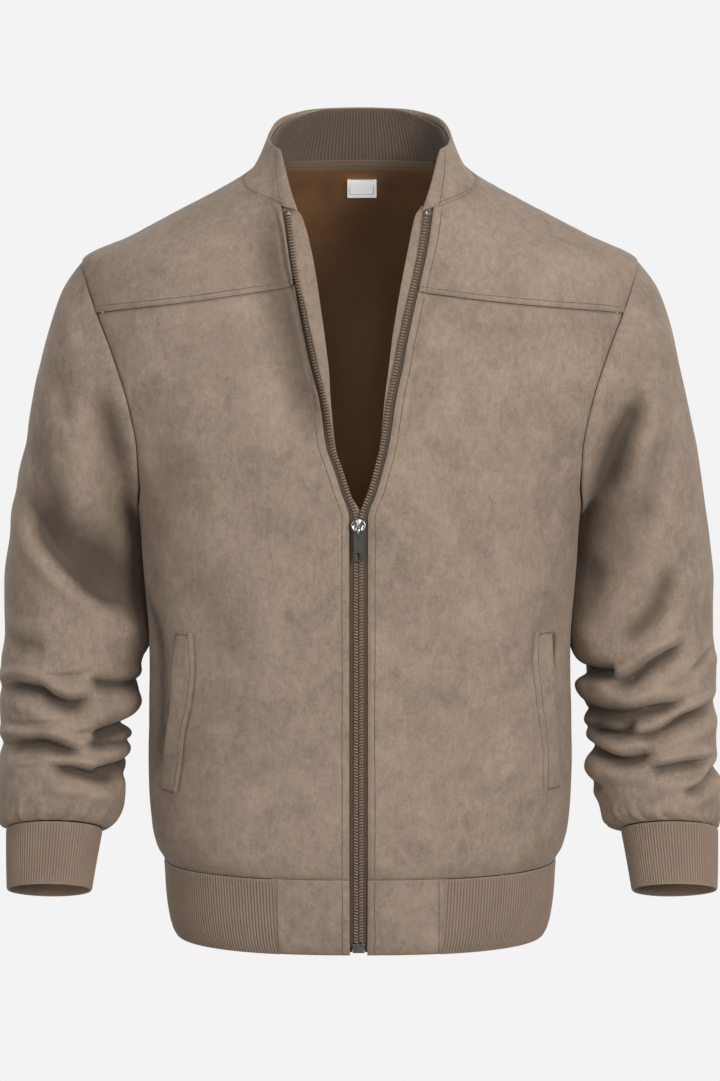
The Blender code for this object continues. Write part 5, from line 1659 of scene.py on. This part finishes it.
class FinishColours(bpy.types.PropertyGroup):
    """The colours of the jacket's cloths, thread and zip."""

    suede: colour_property("Suede", "The faux suede's middle colour", (0.297, 0.225, 0.171))
    mottle: bpy.props.FloatProperty(
        name="Mottle", description="How far the nap's colour strays", default=0.42, min=0, max=1, subtype="FACTOR"
    )
    rib: colour_property("Rib", "The rib knit's colour", (0.31, 0.226, 0.167))
    lining: colour_property("Lining", "The lining's colour", (0.25, 0.124, 0.052))
    tape: colour_property("Zip tape", "The zip tapes' colour", (0.085, 0.06, 0.042))
    teeth: colour_property("Zip teeth", "The zip teeth's colour", (0.235, 0.17, 0.12))
    thread: colour_property("Thread", "The topstitching's colour", (0.14, 0.1, 0.07))
    neck_tape: colour_property("Neck tape", "The neck tape's colour", (0.235, 0.165, 0.11))


class MakingSizes(bpy.types.PropertyGroup):
    """How finely the jacket is made, and the sizes of its small repeats."""

    cells: count_property("Cloth cells", "Cells across each front panel", 77, 20, 200)
    sleeve_columns: count_property("Sleeve columns", "Cells round a sleeve", 180, 40, 400)
    cuff_ribs: count_property("Cuff ribs", "Ribs round a cuff", 98, 20, 200)
    hem_ribs: count_property("Hem ribs", "Ribs round the hem between its tabs", 290, 40, 400)
    collar_ribs: count_property("Collar ribs", "Ribs round the collar's inside", 112, 40, 300)
    stitch: bpy.props.FloatProperty(
        name="Stitch", description="The length of one stitch with its gap", default=0.0031, unit="LENGTH"
    )


def sizes():
    return bpy.context.scene.jacket_sizes


class JACKET_OT_finishes(bpy.types.Operator):
    """Makes the materials of the cloths, thread and zip"""

    bl_idname = "jacket.finishes"
    bl_label = "Finishes"

    def execute(self, context):
        colours = context.scene.jacket_colours
        suede_look("faux suede", colours.suede, colours.mottle)
        rib_look("rib knit", colours.rib)
        lining_look("lining", colours.lining)
        woven_look("zip tape", colours.tape, 0.7)
        woven_look("neck tape", colours.neck_tape, 1.0)
        # The blank label's painted glow brightens it inside the neck.
        woven_look("blank label", (0.9, 0.9, 0.9), 0.5, 0.06, 0.4)
        thread_look("suede thread", colours.thread)
        thread_look("white thread", (0.7, 0.69, 0.67))
        teeth_look("zip teeth", colours.teeth)
        metal_look("dark nickel", (0.3, 0.29, 0.28), 0.22)
        metal_look("dark pull", (0.075, 0.075, 0.07), 0.38)
        repeat_tree()
        rib_tree()
        return {"FINISHED"}


class JACKET_OT_fronts(bpy.types.Operator):
    """Makes the two fronts and their yokes"""

    bl_idname = "jacket.fronts"
    bl_label = "Fronts and yokes"

    def execute(self, context):
        for side_name in SIDES:
            make_front_panel(side_name, sizes().cells)
            make_yoke_panel(side_name, sizes().cells)
        return {"FINISHED"}


class JACKET_OT_back(bpy.types.Operator):
    """Makes the back and the lining that shows through the neck"""

    bl_idname = "jacket.back"
    bl_label = "Back and lining"

    def execute(self, context):
        make_back_panel(*BACK_CELLS)
        make_lining(*LINING_CELLS)
        return {"FINISHED"}


class JACKET_OT_sleeves(bpy.types.Operator):
    """Makes the two creased sleeves"""

    bl_idname = "jacket.sleeves"
    bl_label = "Sleeves"

    def execute(self, context):
        for side_name in SIDES:
            make_sleeve_tube(side_name, sizes().sleeve_columns, *SLEEVE_ROWS)
        return {"FINISHED"}


class JACKET_OT_ribs(bpy.types.Operator):
    """Makes the rib cuffs and the rib hem between its suede tabs"""

    bl_idname = "jacket.ribs"
    bl_label = "Cuffs and hem"

    def execute(self, context):
        for side_name in SIDES:
            make_cuff_rib(side_name, sizes().cuff_ribs)
            make_hem_tab(side_name, HEM_TAB_CELLS)
        make_hem_rib(sizes().hem_ribs)
        return {"FINISHED"}


class JACKET_OT_collar(bpy.types.Operator):
    """Makes the stand collar, its rib inside, the neck tape and the blank label"""

    bl_idname = "jacket.collar"
    bl_label = "Collar"

    def execute(self, context):
        make_collar_shell(*COLLAR_CELLS)
        make_collar_rib(sizes().collar_ribs)
        for side_name in SIDES:
            make_collar_turning(side_name)
        make_neck_band()
        make_blank_label()
        return {"FINISHED"}


class JACKET_OT_zip(bpy.types.Operator):
    """Makes the zip's tapes, teeth and stops, and finishes its slider and pull tab"""

    bl_idname = "jacket.zip"
    bl_label = "Zip"

    def execute(self, context):
        for side_name in SIDES:
            make_facing_strip(side_name)
            make_tape(side_name)
            make_teeth(side_name)
            make_stop(side_name)
        make_slider()
        dress_node("zip_pull_tab", "dark pull")
        dress_node("zip_box", "dark nickel")
        return {"FINISHED"}


class JACKET_OT_pockets(bpy.types.Operator):
    """Makes the pocket welts"""

    bl_idname = "jacket.pockets"
    bl_label = "Pocket welts"

    def execute(self, context):
        for side_name in SIDES:
            make_welt(side_name)
        return {"FINISHED"}


class JACKET_OT_stitching(bpy.types.Operator):
    """Sews the topstitching"""

    bl_idname = "jacket.stitching"
    bl_label = "Topstitching"

    def execute(self, context):
        make_stitching(sizes().stitch / MM)
        return {"FINISHED"}


class JACKET_OT_studio(bpy.types.Operator):
    """Sets up the pale studio, its soft lights and the camera"""

    bl_idname = "jacket.studio"
    bl_label = "Studio"

    def execute(self, context):
        make_studio(BACKDROP_BRIGHTNESS)
        world = bpy.data.worlds.new("studio")
        world.use_nodes = True
        background = world.node_tree.nodes["Background"].inputs
        background["Color"].default_value = (1, 1, 1, 1)
        background["Strength"].default_value = ROOM_LIGHT
        context.scene.world = world
        add_softbox("key", (1.4, -2.45, 0.45), (1.0, 1.0), 54, colour=(1.0, 0.985, 0.965))
        add_softbox("fill", (-1.6, -2.6, -0.1), (1.6, 1.6), 18)
        add_softbox("front", (0.0, -3.4, 0.1), (0.7, 0.7), 9, target=(0, 0, -0.2))
        add_softbox("top", (0.3, -0.9, 1.9), (1.6, 1.0), 10)
        add_softbox("back left", (-1.9, 2.2, 0.9), (1.6, 1.6), 34)
        add_softbox("back right", (1.9, 2.2, 0.7), (1.6, 1.6), 30)
        context.scene.view_settings.view_transform = "Standard"
        context.scene.view_settings.look = "None"
        add_camera()
        return {"FINISHED"}


STEPS = (
    JACKET_OT_finishes,
    JACKET_OT_fronts,
    JACKET_OT_back,
    JACKET_OT_sleeves,
    JACKET_OT_ribs,
    JACKET_OT_collar,
    JACKET_OT_zip,
    JACKET_OT_pockets,
    JACKET_OT_stitching,
    JACKET_OT_studio,
)


class JACKET_PT_making(bpy.types.Panel):
    """Lists the jacket's sizes and colours and the steps that make it"""

    bl_idname = "JACKET_PT_making"
    bl_label = "Bomber jacket"
    bl_space_type = "VIEW_3D"
    bl_region_type = "UI"
    bl_category = "Jacket"

    def draw(self, context):
        for group in (context.scene.jacket_colours, context.scene.jacket_sizes):
            for name in group.__annotations__:
                self.layout.prop(group, name)
        for step in STEPS:
            self.layout.operator(step.bl_idname)


CLASSES = (FinishColours, MakingSizes, *STEPS, JACKET_PT_making)


def register():
    for part in CLASSES:
        bpy.utils.register_class(part)
    bpy.types.Scene.jacket_colours = bpy.props.PointerProperty(type=FinishColours)
    bpy.types.Scene.jacket_sizes = bpy.props.PointerProperty(type=MakingSizes)


def unregister():
    del bpy.types.Scene.jacket_sizes
    del bpy.types.Scene.jacket_colours
    for part in reversed(CLASSES):
        bpy.utils.unregister_class(part)


def main():
    register()
    for step in STEPS:
        group, name = step.bl_idname.split(".")
        getattr(getattr(bpy.ops, group), name)()


if __name__ == "__main__":
    main()
